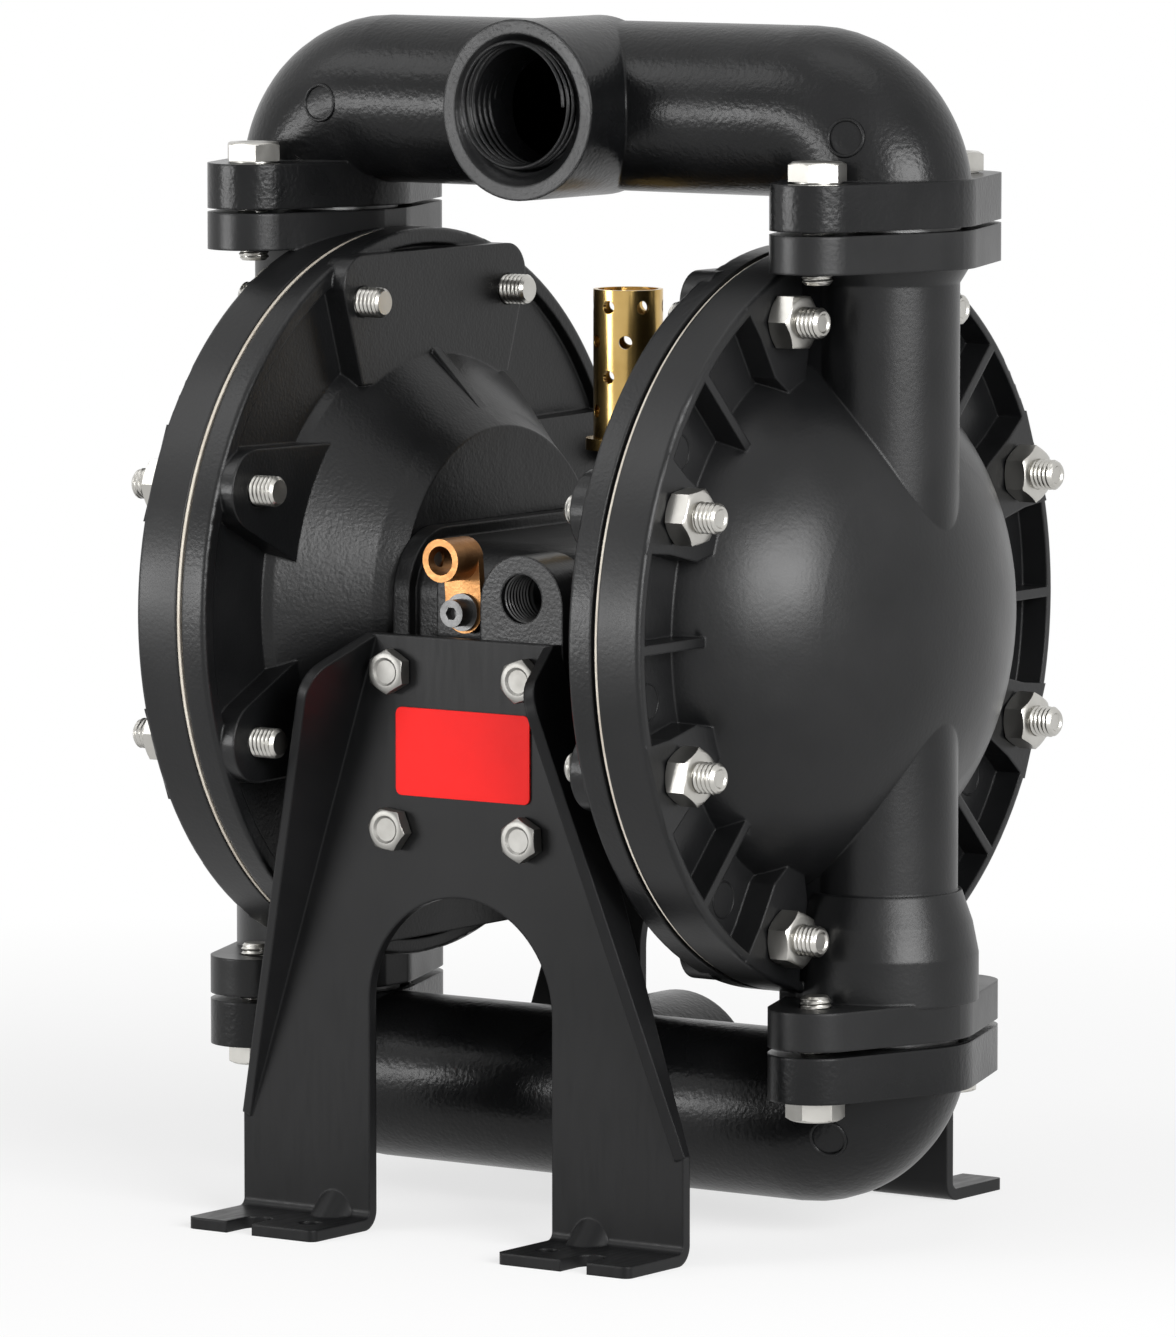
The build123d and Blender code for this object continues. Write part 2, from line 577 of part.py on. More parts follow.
def spool():
    bar = rod_x(-SPOOL_HALF, SPOOL_HALF, SPOOL_R, VALVE_Y, VALVE_Z)
    for x in (-GROOVE_PITCH, 0, GROOVE_PITCH):
        bar -= ring_x(x - GROOVE_HALF, x + GROOVE_HALF, SPOOL_R + 1, SPOOL_R - GROOVE_DEPTH,
                      VALVE_Y, VALVE_Z)
    return on_axis(bar)


def sleeve():
    tube = ring_x(-SLEEVE_HALF, SLEEVE_HALF, SLEEVE_R, SPOOL_R + SPOOL_FIT, VALVE_Y, VALVE_Z)
    port = Pos(0, 0, SLEEVE_R) * Cylinder(SLEEVE_PORT_R, 8)
    for x in (-SLEEVE_PORT_PITCH, 0, SLEEVE_PORT_PITCH):
        for i in range(SLEEVE_PORT_COUNT):
            turn = 360 / SLEEVE_PORT_COUNT * i
            tube -= Pos(x, VALVE_Y, VALVE_Z) * Rot(turn, 0, 0) * port
    return on_axis(tube)


def valve_plug():
    """End plug with a nose that stops the spool."""
    x1 = BODY_HALF_X
    nose_end = SPOOL_HALF + SPOOL_TRAVEL + STOP_GAP
    return on_axis(rod_x(x1 - PLUG_T, x1, SLEEVE_R, VALVE_Y, VALVE_Z)
                   + rod_x(nose_end, x1 - PLUG_T, SPOOL_R - 1, VALVE_Y, VALVE_Z))


# ---- ball checks ----
def seat(top_z):
    groove_z = top_z - SEAT_GROOVE_DROP
    root = SEAT_R - ORING_T
    return turned_z([(SEAT_BORE_R, top_z - SEAT_H), (SEAT_R, top_z - SEAT_H), (SEAT_R, groove_z),
                     (root, groove_z), (root, groove_z + ORING_T), (SEAT_R, groove_z + ORING_T),
                     (SEAT_R, top_z), (SEAT_MOUTH_R, top_z),
                     (SEAT_BORE_R, top_z - (SEAT_MOUTH_R - SEAT_BORE_R))], COLUMN_X)


def seat_ring(top_z):
    """O-ring in the groove round a seat."""
    middle_z = top_z - SEAT_GROOVE_DROP + ORING_T / 2
    return Pos(COLUMN_X, 0, middle_z) * Torus(SEAT_R - ORING_T / 2, ORING_T / 2 - ORING_EASE)


def ball(top_z):
    """Ball resting on the 45 degree mouth of a seat."""
    mouth_z = top_z - (SEAT_MOUTH_R - SEAT_BORE_R)
    centre = mouth_z - SEAT_BORE_R + (BALL_R + BALL_REST_GAP) * math.sqrt(2)
    return Pos(COLUMN_X, 0, centre) * Sphere(BALL_R)


# ---- manifolds ----
def elbow(radius, axis_z, up):
    """Quarter torus from the level tube to a vertical end at the column."""
    centre_x = COLUMN_X - BEND_R
    section = Plane(origin=(centre_x, 0, axis_z), x_dir=(0, 1, 0), z_dir=(1, 0, 0)) * Circle(radius)
    centre_z = axis_z + (BEND_R if up else -BEND_R)
    pivot = Axis((centre_x, 0, centre_z), (0, -1 if up else 1, 0))
    return revolve(section, axis=pivot, revolution_arc=90)


def run(radius, axis_z, end_z):
    """Level tube with an elbow at each end down (or up) to a joint plane."""
    up = end_z > axis_z
    bend_end = axis_z + (BEND_R if up else -BEND_R)
    half = elbow(radius, axis_z, up)
    if abs(end_z - bend_end) > 0.01:
        half += rod_z(min(end_z, bend_end), max(end_z, bend_end), radius, COLUMN_X)
    reach = COLUMN_X - BEND_R
    return rod_x(-reach, reach, radius, 0, axis_z) + half + mirrored(half)


def manifold(axis_z, joint_z, port_side, ear_z0):
    body = run(TUBE_R, axis_z, joint_z)
    lug = ear(ear_z0, MANIFOLD_EAR_T)
    body += lug + mirrored(lug)
    face = port_side * PORT_FACE_Y
    body += rod_y(0, face, PORT_COLLAR_R, 0, axis_z)
    return body


def port_bore(axis_z, port_side):
    """Threaded port bored into the tube: cored inside, threaded, with a wide chamfer at its mouth."""
    depth = PORT_MOUTH_R - PORT_BORE_R
    thread_end = PORT_FACE_Y - depth - PORT_THREAD_L
    bore = rod_y(thread_end, PORT_FACE_Y + 1, PORT_BORE_R) + rod_y(0, thread_end, PORT_CORE_R)
    mouth = Pos(0, PORT_FACE_Y - depth / 2, 0) * Rot(-90, 0, 0) * Cone(PORT_BORE_R, PORT_MOUTH_R, depth)
    bore += mouth
    if port_side < 0:
        bore = Rot(0, 0, 180) * bore
    return Pos(0, 0, axis_z) * bore


def outlet_manifold():
    body = manifold(OUTLET_Z, EAR_TOP_Z, -1, EAR_TOP_Z)
    body -= run(TUBE_BORE_R, OUTLET_Z, EAR_TOP_Z - 1)
    body -= port_bore(OUTLET_Z, -1)
    for hole in bolt_holes(EAR_TOP_Z - 1, EAR_TOP_Z + MANIFOLD_EAR_T + 1, STUD_R + CLEAR_FIT):
        body -= hole
        body -= mirrored(hole)
    return body


def inlet_manifold():
    body = manifold(INLET_Z, EAR_LOW_Z, 1, EAR_LOW_Z - MANIFOLD_EAR_T)
    body -= run(TUBE_BORE_R, INLET_Z, EAR_LOW_Z + 1)
    body -= port_bore(INLET_Z, 1)
    well = rod_z(LOW_JOINT_Z - SEAT_H, EAR_LOW_Z + 1, SEAT_R + SEAT_FIT, COLUMN_X)
    body -= well
    body -= mirrored(well)
    for hole in bolt_holes(EAR_LOW_Z - MANIFOLD_EAR_T - 1, EAR_LOW_Z + 1, STUD_R + CLEAR_FIT):
        body -= hole
        body -= mirrored(hole)
    return body


# ---- fasteners ----
def cap_studs():
    return [rod_x(STUD_INNER_X, STUD_OUTER_X, STUD_R, y, AXIS_Z + z) for y, z in stud_places()]


def cap_nuts():
    nut = Rot(0, 90, 0) * hexagon(M8_FLATS, M8_NUT_H, STUD_R + THREAD_FIT)
    return [Pos(RIM_X + SEAM_GAP, y, AXIS_Z + z) * nut for y, z in stud_places()]


def manifold_bolts(head_z, tip_z):
    up = head_z > tip_z
    out = []
    for x in (-COLUMN_X, COLUMN_X):
        for y in (-EAR_BOLT_Y, EAR_BOLT_Y):
            head = hexagon(M8_FLATS, M8_HEAD_H)
            if not up:
                head = mirror(head, about=Plane.XY)
            bolt = Pos(x, y, head_z) * head + rod_z(tip_z, head_z, STUD_R, x, y)
            out.append(bolt)
    return out


def bracket_bolts(side):
    out = []
    seat_y = FRONT_PAD_Y + SHEET_T + SEAM_GAP
    for x in (-BRACKET_BOLT_X, BRACKET_BOLT_X):
        for z in BRACKET_BOLT_Z:
            head = Rot(90 * side, 0, 0) * hexagon(M6_FLATS, M6_HEAD_H)
            bolt = Pos(x, -side * seat_y, z) * head
            bolt += rod_y(-side * (seat_y - M6_BOLT_L), -side * (seat_y + 1), M6_R, x, z)
            out.append(bolt)
    return out


# ---- brackets ----
def nearest_edge(shape, point):
    """Edge along X that lies nearest a point."""
    return shape.edges().filter_by(Axis.X).sort_by_distance(point)[0]


def bracket_foot(side, y_front, y_back):
    """Foot folded forward from the bottom of a leg, with its slot, hole and pressed gusset."""
    x0, x1 = sorted((side * LEG_INNER_X, side * LEG_OUTER_X))
    middle = (x0 + x1) / 2
    bend = BEND_INNER_R + SHEET_T
    foot = slab(x0, x1, y_front, y_back, 0, 2 * bend) + slab(x0, x1, -FOOT_Y, y_back, 0, SHEET_T)
    foot = fillet(nearest_edge(foot, (middle, y_back, 0)), bend)
    foot = fillet(nearest_edge(foot, (middle, y_front, SHEET_T)), BEND_INNER_R)
    toes = foot.edges().filter_by(Axis.Z).filter_by_position(Axis.Y, -FOOT_Y - 1, -FOOT_Y + 1)
    foot = fillet(toes, FOOT_CORNER_R)
    # the gusset is a slanting half round pressed out of the bend, and hollow behind
    corner = Pos(side * GUSSET_X, y_front + GUSSET_SINK, SHEET_T - GUSSET_SINK) * Rot(-45, 0, 0)
    gusset = corner * Cylinder(GUSSET_R, 6 * GUSSET_R)
    foot += gusset & slab(x0, x1, -FOOT_Y, y_back - 1, 1, 4 * GUSSET_R)
    foot -= corner * Cylinder(GUSSET_R - SHEET_T, 6 * GUSSET_R)
    foot -= rod_z(-1, SHEET_T + 1, FOOT_HOLE_R, side * FOOT_HOLE_X, -FOOT_HOLE_Y)
    foot -= rod_z(-1, SHEET_T + 1, SLOT_W / 2, side * SLOT_X, -SLOT_Y)
    slot_left = side * SLOT_X - SLOT_W / 2
    foot -= slab(slot_left, slot_left + SLOT_W, -FOOT_Y - 1, -SLOT_Y, -1, SHEET_T + 1)
    return foot


def bracket_wing(y_back):
    """Right wing, folded forward along the slanting edge and tapering out at the knee."""
    run_x, run_z = LEG_OUTER_X - BRACKET_TOP_HALF, BRACKET_TOP_Z - LEG_KNEE_Z
    length = math.hypot(run_x, run_z)
    lean = math.radians(WING_LEAN)
    inwards = Vector(-run_z, 0, -run_x) / length * math.cos(lean) - Vector(0, 1, 0) * math.sin(lean)
    fold = Plane(origin=(BRACKET_TOP_HALF, y_back, BRACKET_TOP_Z), x_dir=(run_x, 0, -run_z), z_dir=inwards)
    deep = SHEET_T + WING_D
    shoulder = (WING_CHAMFER, deep)
    outline = make_face(Polyline((0, 0), (0, SHEET_T), shoulder,
                                 (length, SHEET_T), (length, 0), close=True))
    corner = outline.vertices().sort_by_distance((*shoulder, 0))[0]
    outline = fillet(corner, WING_CORNER_R)
    return fold * extrude(outline, SHEET_T)


def bracket():
    """Front bracket: bolted plate on two legs, with folded wings and feet."""
    y_front = -FRONT_PAD_Y - SHEET_T - SEAM_GAP
    y_back = y_front + SHEET_T
    low = BEND_INNER_R + SHEET_T
    half = [(BRACKET_TOP_HALF, BRACKET_TOP_Z), (LEG_OUTER_X, LEG_KNEE_Z), (LEG_OUTER_X, low)]
    outline = make_face(Polyline(*half, *[(-x, z) for x, z in reversed(half)], close=True))
    arch = Pos(0, ARCH_SPRING_Z) * Circle(LEG_INNER_X)
    arch += Pos(0, ARCH_SPRING_Z / 2 - 5) * Rectangle(2 * LEG_INNER_X, ARCH_SPRING_Z + 10)
    plate = Plane.XZ.offset(-y_front) * extrude(outline - arch, -SHEET_T)
    wing = bracket_wing(y_back)
    plate += wing + mirrored(wing)
    for side in (-1, 1):
        plate += bracket_foot(side, y_front, y_back)
    for x in (-BRACKET_BOLT_X, BRACKET_BOLT_X):
        for z in BRACKET_BOLT_Z:
            plate -= rod_y(y_front - 1, y_back + 1, M6_R + CLEAR_FIT, x, z)
    return plate


# ---- small pieces of the centre body ----
def rod_bush():
    x1 = BODY_HALF_X
    return on_axis(ring_x(x1 - BUSH_L, x1, BUSH_R, ROD_R + ROD_FIT))


def rod_seal():
    x1 = BODY_HALF_X - BUSH_L - SEAM_GAP
    return on_axis(ring_x(x1 - SEAL_L + SEAM_GAP, x1, BUSH_R, ROD_R + SEAL_FIT))


def pilot_sleeve():
    half = BODY_HALF_X
    return on_axis(ring_x(-half, half, PILOT_SLEEVE_R - PRESS_FIT, PILOT_R + PILOT_FIT, 0, PILOT_Z))


def pilot_rod():
    """Pin that the inner plates push at the ends of the stroke."""
    half = CLAMP_X - SEAM_GAP - INNER_PLATE_T - STROKE * (1 - PILOT_RATIO) - 0.3
    return on_axis(rod_x(-half, half, PILOT_R, 0, PILOT_Z))


def hub_gasket():
    sheet = rod_x(BODY_HALF_X + SEAM_GAP, BODY_HALF_X + SEAM_GAP + GASKET_T, AIR_CONE_TOP_R - 4)
    grow = BODY_FLANGE_GROW - 1
    sheet &= body_block(BODY_HALF_Y + grow, BODY_BOTTOM - grow, BODY_TOP + grow,
                        BODY_CORNER_R + grow, 0, 2 * BODY_HALF_X)
    far = 2 * BODY_HALF_X
    sheet -= rod_x(0, far, BUSH_R + 1)
    sheet -= rod_x(0, far, PILOT_SLEEVE_R + CLEAR_FIT, 0, PILOT_Z)
    for y, z in HUB_SCREWS:
        sheet -= rod_x(0, far, M6_R + CLEAR_FIT, y, z)
    return on_axis(sheet)


def hub_screws():
    """Socket screws inside the air chamber that hold an air cap to the centre body."""
    seat = AIR_CONE_TOP_X + AIR_WALL + SEAM_GAP
    out = []
    for y, z in HUB_SCREWS:
        screw = rod_x(seat, seat + M6_HEAD_H, M6_HEAD_R, y, z)
        screw += rod_x(BODY_HALF_X - HUB_SCREW_REACH, seat + 1, M6_R, y, z)
        socket = Pos(seat + 2, y, z) * Rot(0, 90, 0) * socket_cut(M6_SOCKET_FLATS)
        out.append(on_axis(screw - socket))
    return out


# ---- air inlet side fittings, exhaust and label ----
def ground_lug():
    """Cast strap with a barrel for the earth wire."""
    y1 = -LUG_FACE_Y - SEAM_GAP
    y0 = y1 - LUG_STRAP_T
    reach_x, reach_z = LUG_BARREL_X - LUG_SCREW_X, LUG_BARREL_Z - LUG_SCREW_Z
    strap = SlotCenterToCenter(math.hypot(reach_x, reach_z), 2 * LUG_BARREL_R)
    strap = Rot(0, 0, math.degrees(math.atan2(reach_z, reach_x))) * strap
    strap = Pos(LUG_SCREW_X + reach_x / 2, LUG_SCREW_Z + reach_z / 2) * strap
    lug = Plane.XZ.offset(-y0) * extrude(strap, -LUG_STRAP_T)
    lug += rod_y(y1 - LUG_BARREL_L, y1, LUG_BARREL_R, LUG_BARREL_X, LUG_BARREL_Z)
    lug -= rod_y(y0 - LUG_BARREL_L, y1 + 1, LUG_BORE_R, LUG_BARREL_X, LUG_BARREL_Z)
    lug -= rod_y(y0 - 1, y1 + 1, M4_R + CLEAR_FIT, LUG_SCREW_X, LUG_SCREW_Z)
    # the clamp screw enters from the outer side of the barrel
    lug -= Pos(LUG_BARREL_X, y1 - LUG_BARREL_L / 2 - 1, LUG_BARREL_Z) * rod_x(
        -2 * LUG_BARREL_R, 0, M4_R + THREAD_FIT)
    return on_axis(lug)


def lug_clamp():
    """Set screw across the barrel."""
    y = -LUG_FACE_Y - SEAM_GAP - LUG_BARREL_L / 2 - 1
    x0 = LUG_BARREL_X - LUG_BARREL_R - 0.6
    screw = rod_x(x0, LUG_BARREL_X - LUG_BORE_R - 0.2, M4_R, y, LUG_BARREL_Z)
    screw -= slab(x0 - 1, x0 + 1, y - 0.4, y + 0.4, LUG_BARREL_Z - 3, LUG_BARREL_Z + 3)
    return on_axis(screw)


def ground_washer():
    y1 = -LUG_FACE_Y - LUG_STRAP_T - 2 * SEAM_GAP
    return on_axis(rod_y(y1 - M4_WASHER_T, y1, M4_WASHER_R, LUG_SCREW_X, LUG_SCREW_Z)
                   - rod_y(y1 - 2, y1 + 1, M4_R + CLEAR_FIT, LUG_SCREW_X, LUG_SCREW_Z))


def ground_screw():
    seat = -LUG_FACE_Y - LUG_STRAP_T - 3 * SEAM_GAP - M4_WASHER_T
    screw = rod_y(seat - M4_HEAD_H, seat, M4_HEAD_R, LUG_SCREW_X, LUG_SCREW_Z)
    screw += rod_y(seat - 1, LUG_HOLE_D - LUG_FACE_Y - 0.5, M4_R, LUG_SCREW_X, LUG_SCREW_Z)
    socket = Pos(LUG_SCREW_X, seat - M4_HEAD_H / 2, LUG_SCREW_Z) * Rot(90, 0, 0) * socket_cut(M4_SOCKET_FLATS)
    return on_axis(screw - socket)


def exhaust_nipple():
    pipe = rod_z(BODY_TOP - 1, NIPPLE_TOP, NIPPLE_R, EXHAUST_X, EXHAUST_Y)
    pipe -= rod_z(BODY_TOP - 2, NIPPLE_TOP + 1, NIPPLE_BORE_R, EXHAUST_X, EXHAUST_Y)
    return on_axis(pipe)


def muffler_collar():
    z0 = NIPPLE_TOP + SEAM_GAP
    ring = rod_z(z0, z0 + MUFFLER_COLLAR_T, MUFFLER_COLLAR_R, EXHAUST_X, EXHAUST_Y)
    ring -= rod_z(z0 - 1, z0 + MUFFLER_COLLAR_T + 1, NIPPLE_BORE_R, EXHAUST_X, EXHAUST_Y)
    return on_axis(ring)


def muffler_tube():
    """Perforated brass tube, closed at the top."""
    z0 = NIPPLE_TOP + 2 * SEAM_GAP + MUFFLER_COLLAR_T
    tube = rod_z(z0, MUFFLER_TOP, MUFFLER_R, EXHAUST_X, EXHAUST_Y)
    bore_r = MUFFLER_R - MUFFLER_WALL
    end_z = MUFFLER_TOP - MUFFLER_LIP
    tube -= rod_z(z0 - 1, end_z - MUFFLER_END_T, bore_r, EXHAUST_X, EXHAUST_Y)
    tube -= rod_z(end_z, MUFFLER_TOP + 1, bore_r, EXHAUST_X, EXHAUST_Y)
    hole = Pos(MUFFLER_R, 0, 0) * Rot(0, 90, 0) * Cylinder(MUFFLER_HOLE_R, 5)
    for row in range(MUFFLER_ROWS):
        lift = z0 + MUFFLER_FIRST_ROW + row * MUFFLER_ROW_PITCH
        for i in range(MUFFLER_ROW_HOLES):
            turn = 360 / MUFFLER_ROW_HOLES * (i + row % 2 / 2)
            tube -= Pos(EXHAUST_X, EXHAUST_Y, lift) * Rot(0, 0, turn) * hole
    return on_axis(tube)


def label_plate():
    y1 = -FRONT_PAD_Y - SHEET_T - 2 * SEAM_GAP
    return slab(LABEL_X - LABEL_W / 2, LABEL_X + LABEL_W / 2, y1 - LABEL_T, y1,
                LABEL_Z - LABEL_H / 2, LABEL_Z + LABEL_H / 2)


def both_sides(name, shape):
    """Store a piece drawn for the right side, and its mirror image for the left."""
    nodes[name + "_right"] = shape
    nodes[name + "_left"] = mirrored(shape)


def group(shapes):
    return Compound(children=list(shapes))


nodes["centre_body"] = centre_body()
both_sides("air_cap", air_cap())
both_sides("fluid_cap", fluid_cap())
both_sides("hub_gasket", hub_gasket())
both_sides("rod_bush", rod_bush())
both_sides("rod_seal", rod_seal())
both_sides("valve_plug", valve_plug())
both_sides("backup_diaphragm", diaphragm(CLAMP_X + SEAM_GAP / 2, BACKUP_T - SEAM_GAP))
both_sides("diaphragm", diaphragm(LINER_X + SEAM_GAP / 2, LINER_T - SEAM_GAP))
both_sides("inner_plate", inner_plate())
both_sides("outer_plate", outer_plate())
both_sides("diaphragm_screw", diaphragm_screw())
both_sides("outlet_seat", seat(EAR_TOP_Z))
both_sides("inlet_seat", seat(LOW_JOINT_Z))
both_sides("outlet_ball", ball(EAR_TOP_Z))
both_sides("inlet_ball", ball(LOW_JOINT_Z))
nodes["outlet_seat_rings"] = group([seat_ring(EAR_TOP_Z), mirrored(seat_ring(EAR_TOP_Z))])
nodes["inlet_seat_rings"] = group([seat_ring(LOW_JOINT_Z), mirrored(seat_ring(LOW_JOINT_Z))])
nodes["rod"] = rod()
nodes["pilot_rod"] = pilot_rod()
nodes["pilot_sleeve"] = pilot_sleeve()
nodes["valve_spool"] = spool()
nodes["valve_sleeve"] = sleeve()
nodes["outlet_manifold"] = outlet_manifold()
nodes["inlet_manifold"] = inlet_manifold()
nodes["bracket_front"] = bracket()
nodes["bracket_rear"] = Rot(0, 0, 180) * nodes["bracket_front"]
nodes["cap_studs_right"] = group(cap_studs())
nodes["cap_studs_left"] = group([mirrored(s) for s in cap_studs()])
nodes["cap_nuts_right"] = group(cap_nuts())
nodes["cap_nuts_left"] = group([mirrored(s) for s in cap_nuts()])
nodes["hub_screws_right"] = group(hub_screws())
nodes["hub_screws_left"] = group([mirrored(s) for s in hub_screws()])
nodes["outlet_bolts"] = group(manifold_bolts(EAR_TOP_Z + MANIFOLD_EAR_T + SEAM_GAP,
                                             TOP_JOINT_Z - CAP_EAR_TOP_T - 3))
nodes["inlet_bolts"] = group(manifold_bolts(EAR_LOW_Z - MANIFOLD_EAR_T - SEAM_GAP,
                                            LOW_JOINT_Z + CAP_EAR_LOW_T + 3))
nodes["bracket_bolts_front"] = group(bracket_bolts(1))
nodes["bracket_bolts_rear"] = group(bracket_bolts(-1))
nodes["label_plate"] = label_plate()
nodes["ground_lug"] = ground_lug()
nodes["lug_clamp"] = lug_clamp()
nodes["ground_washer"] = ground_washer()
nodes["ground_screw"] = ground_screw()
nodes["exhaust_nipple"] = exhaust_nipple()
nodes["muffler_collar"] = muffler_collar()
nodes["muffler_tube"] = muffler_tube()

os.makedirs("parts", exist_ok=True)
for name, shape in nodes.items():
    export_step(shape, f"parts/{name}.step")
print(len(nodes), "nodes written")
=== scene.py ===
# %% [markdown]
# # An air operated diaphragm pump, dressed in Blender
# The pump's solids come from a CAD model, which is loaded here as a fixed frame: every casting,
# nut and bracket already stands in its place, in metres. This script gives those solids their
# finishes, and models again what plain solids leave out, such as threads and chamfered hexagons.

import math

import bmesh
import bpy
from mathutils import Matrix, Vector


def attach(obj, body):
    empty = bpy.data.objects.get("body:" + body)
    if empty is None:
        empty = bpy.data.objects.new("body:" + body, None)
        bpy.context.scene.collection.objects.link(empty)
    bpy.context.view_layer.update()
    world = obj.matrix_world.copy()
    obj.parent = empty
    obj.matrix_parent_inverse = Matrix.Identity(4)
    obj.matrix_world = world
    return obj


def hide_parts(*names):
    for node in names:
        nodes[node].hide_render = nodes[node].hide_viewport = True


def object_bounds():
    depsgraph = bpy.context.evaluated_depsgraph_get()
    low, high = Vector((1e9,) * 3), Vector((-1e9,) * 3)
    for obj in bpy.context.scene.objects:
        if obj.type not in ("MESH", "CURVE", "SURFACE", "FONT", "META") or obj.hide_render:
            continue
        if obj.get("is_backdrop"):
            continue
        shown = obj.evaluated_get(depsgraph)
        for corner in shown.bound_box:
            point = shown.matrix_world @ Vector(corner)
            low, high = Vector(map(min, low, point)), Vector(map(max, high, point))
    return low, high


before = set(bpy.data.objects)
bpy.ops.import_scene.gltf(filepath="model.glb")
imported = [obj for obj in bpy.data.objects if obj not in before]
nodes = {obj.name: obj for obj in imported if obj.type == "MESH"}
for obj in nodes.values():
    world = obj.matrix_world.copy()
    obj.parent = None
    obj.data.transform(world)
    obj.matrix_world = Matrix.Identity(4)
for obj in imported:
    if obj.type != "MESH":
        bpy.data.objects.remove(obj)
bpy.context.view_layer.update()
MM = 0.001

# %% [markdown]
# ## A short way to write shader nodes
# Every finish below is a Principled shader with noise in its colour, roughness and relief. The
# noise could be set up node by node each time, but a handful of small functions keeps each finish
# down to the few numbers that matter: how large the blotches are and how deep the relief is.

# %% Functions for shader nodes
def new_finish(name):
    """A material with its tree, its Principled shader and its Object coordinates."""
    material = bpy.data.materials.new(name)
    material.use_nodes = True
    tree = material.node_tree
    place = tree.nodes.new("ShaderNodeTexCoord").outputs["Object"]
    return material, tree, tree.nodes["Principled BSDF"], place


def noise(tree, place, size, detail=2.0, squeeze=(1, 1, 1)):
    """Noise with blotches about size metres across, squeezed along the axes as asked."""
    mapping = tree.nodes.new("ShaderNodeMapping")
    mapping.inputs["Scale"].default_value = squeeze
    tree.links.new(place, mapping.inputs["Vector"])
    texture = tree.nodes.new("ShaderNodeTexNoise")
    texture.inputs["Scale"].default_value = 1 / size
    texture.inputs["Detail"].default_value = detail
    tree.links.new(mapping.outputs["Vector"], texture.inputs["Vector"])
    return texture.outputs["Fac"]


def spread(tree, value, low, high, start=0.35, end=0.65):
    """The value from start to end stretched to run from low to high."""
    node = tree.nodes.new("ShaderNodeMapRange")
    tree.links.new(value, node.inputs["Value"])
    for name, number in (("From Min", start), ("From Max", end), ("To Min", low), ("To Max", high)):
        node.inputs[name].default_value = number
    return node.outputs["Result"]


def tint(tree, share, first, second):
    """Colour that runs from the first to the second as share goes from 0 to 1."""
    node = tree.nodes.new("ShaderNodeMix")
    node.data_type = "RGBA"
    tree.links.new(share, node.inputs["Factor"])
    node.inputs["A"].default_value = (*first, 1)
    node.inputs["B"].default_value = (*second, 1)
    return node.outputs["Result"]


def relief(tree, shader, edge, layers):
    """Rounded edges, then layers of bumps, each given as (height, depth in metres)."""
    rounding = tree.nodes.new("ShaderNodeBevel")
    rounding.samples = 6
    rounding.inputs["Radius"].default_value = edge
    normal = rounding.outputs["Normal"]
    for height, depth in layers:
        bump = tree.nodes.new("ShaderNodeBump")
        bump.inputs["Distance"].default_value = depth
        tree.links.new(height, bump.inputs["Height"])
        tree.links.new(normal, bump.inputs["Normal"])
        normal = bump.outputs["Normal"]
    tree.links.new(normal, shader.inputs["Normal"])


def paint(tree, shader, colour, roughness):
    """Feed the two sockets that vary over the surface."""
    tree.links.new(colour, shader.inputs["Base Color"])
    tree.links.new(roughness, shader.inputs["Roughness"])


# %% [markdown]
# ## Black paint on castings and on sheet steel
# The castings are die cast metal under a thin black powder coat. The coat has a fine orange peel,
# which breaks up highlights, and it is coarser on the pipes than on the caps. A plain glossy black
# would look like plastic, so the peel is a bump of two sizes and the gloss drifts a little.

# %% Powder coats
def casting_coat(name, grain, peel, gloss, shine):
    """Black powder coat; grain and peel give the size and depth of its orange peel."""
    material, tree, shader, place = new_finish(name)
    fine = noise(tree, place, grain, 2)
    broad = noise(tree, place, 4 * grain, 2)
    drift = noise(tree, place, 28 * MM, 3)
    colour = tint(tree, spread(tree, drift, 0, 1), (0.0038, 0.0040, 0.0043), (0.0066, 0.0067, 0.0071))
    paint(tree, shader, colour, spread(tree, drift, gloss - 0.03, gloss + 0.05))
    shader.inputs["Specular IOR Level"].default_value = shine
    relief(tree, shader, 0.9 * MM, [(broad, 0.8 * peel), (fine, peel)])
    return material


def sheet_coat():
    """Smoother black coat on bent sheet steel, with faint rubbed streaks."""
    material, tree, shader, place = new_finish("Black coat on sheet steel")
    fine = noise(tree, place, 0.7 * MM, 2)
    streaks = noise(tree, place, 9 * MM, 4, (6, 1, 0.7))
    drift = noise(tree, place, 40 * MM, 2)
    colour = tint(tree, spread(tree, drift, 0, 1), (0.0045, 0.0047, 0.0050), (0.0080, 0.0080, 0.0084))
    paint(tree, shader, colour, spread(tree, streaks, 0.33, 0.42))
    shader.inputs["Specular IOR Level"].default_value = 0.18
    relief(tree, shader, 0.8 * MM, [(drift, 0.10 * MM), (fine, 0.010 * MM)])
    return material


cap_coat = casting_coat("Black coat on domes", 1.0 * MM, 0.030 * MM, 0.34, 0.30)
air_coat = casting_coat("Black coat on rough castings", 0.9 * MM, 0.060 * MM, 0.32, 0.30)
pipe_coat = casting_coat("Black coat on pipes", 1.2 * MM, 0.090 * MM, 0.28, 0.23)
bracket_coat = sheet_coat()
print("black coats:", *[m.name for m in (cap_coat, air_coat, pipe_coat, bracket_coat)], sep="\n  ")

# %% [markdown]
# ## Bare metals
# Nuts, studs and bolts are plated or stainless steel, the silencer is brass, and the earth lug is
# cast bronze. Metal shows its surroundings, so its look is mostly in the roughness: long drawn
# streaks on the brass, a grainy skin on the bronze, and a soft drift on the plated steel.

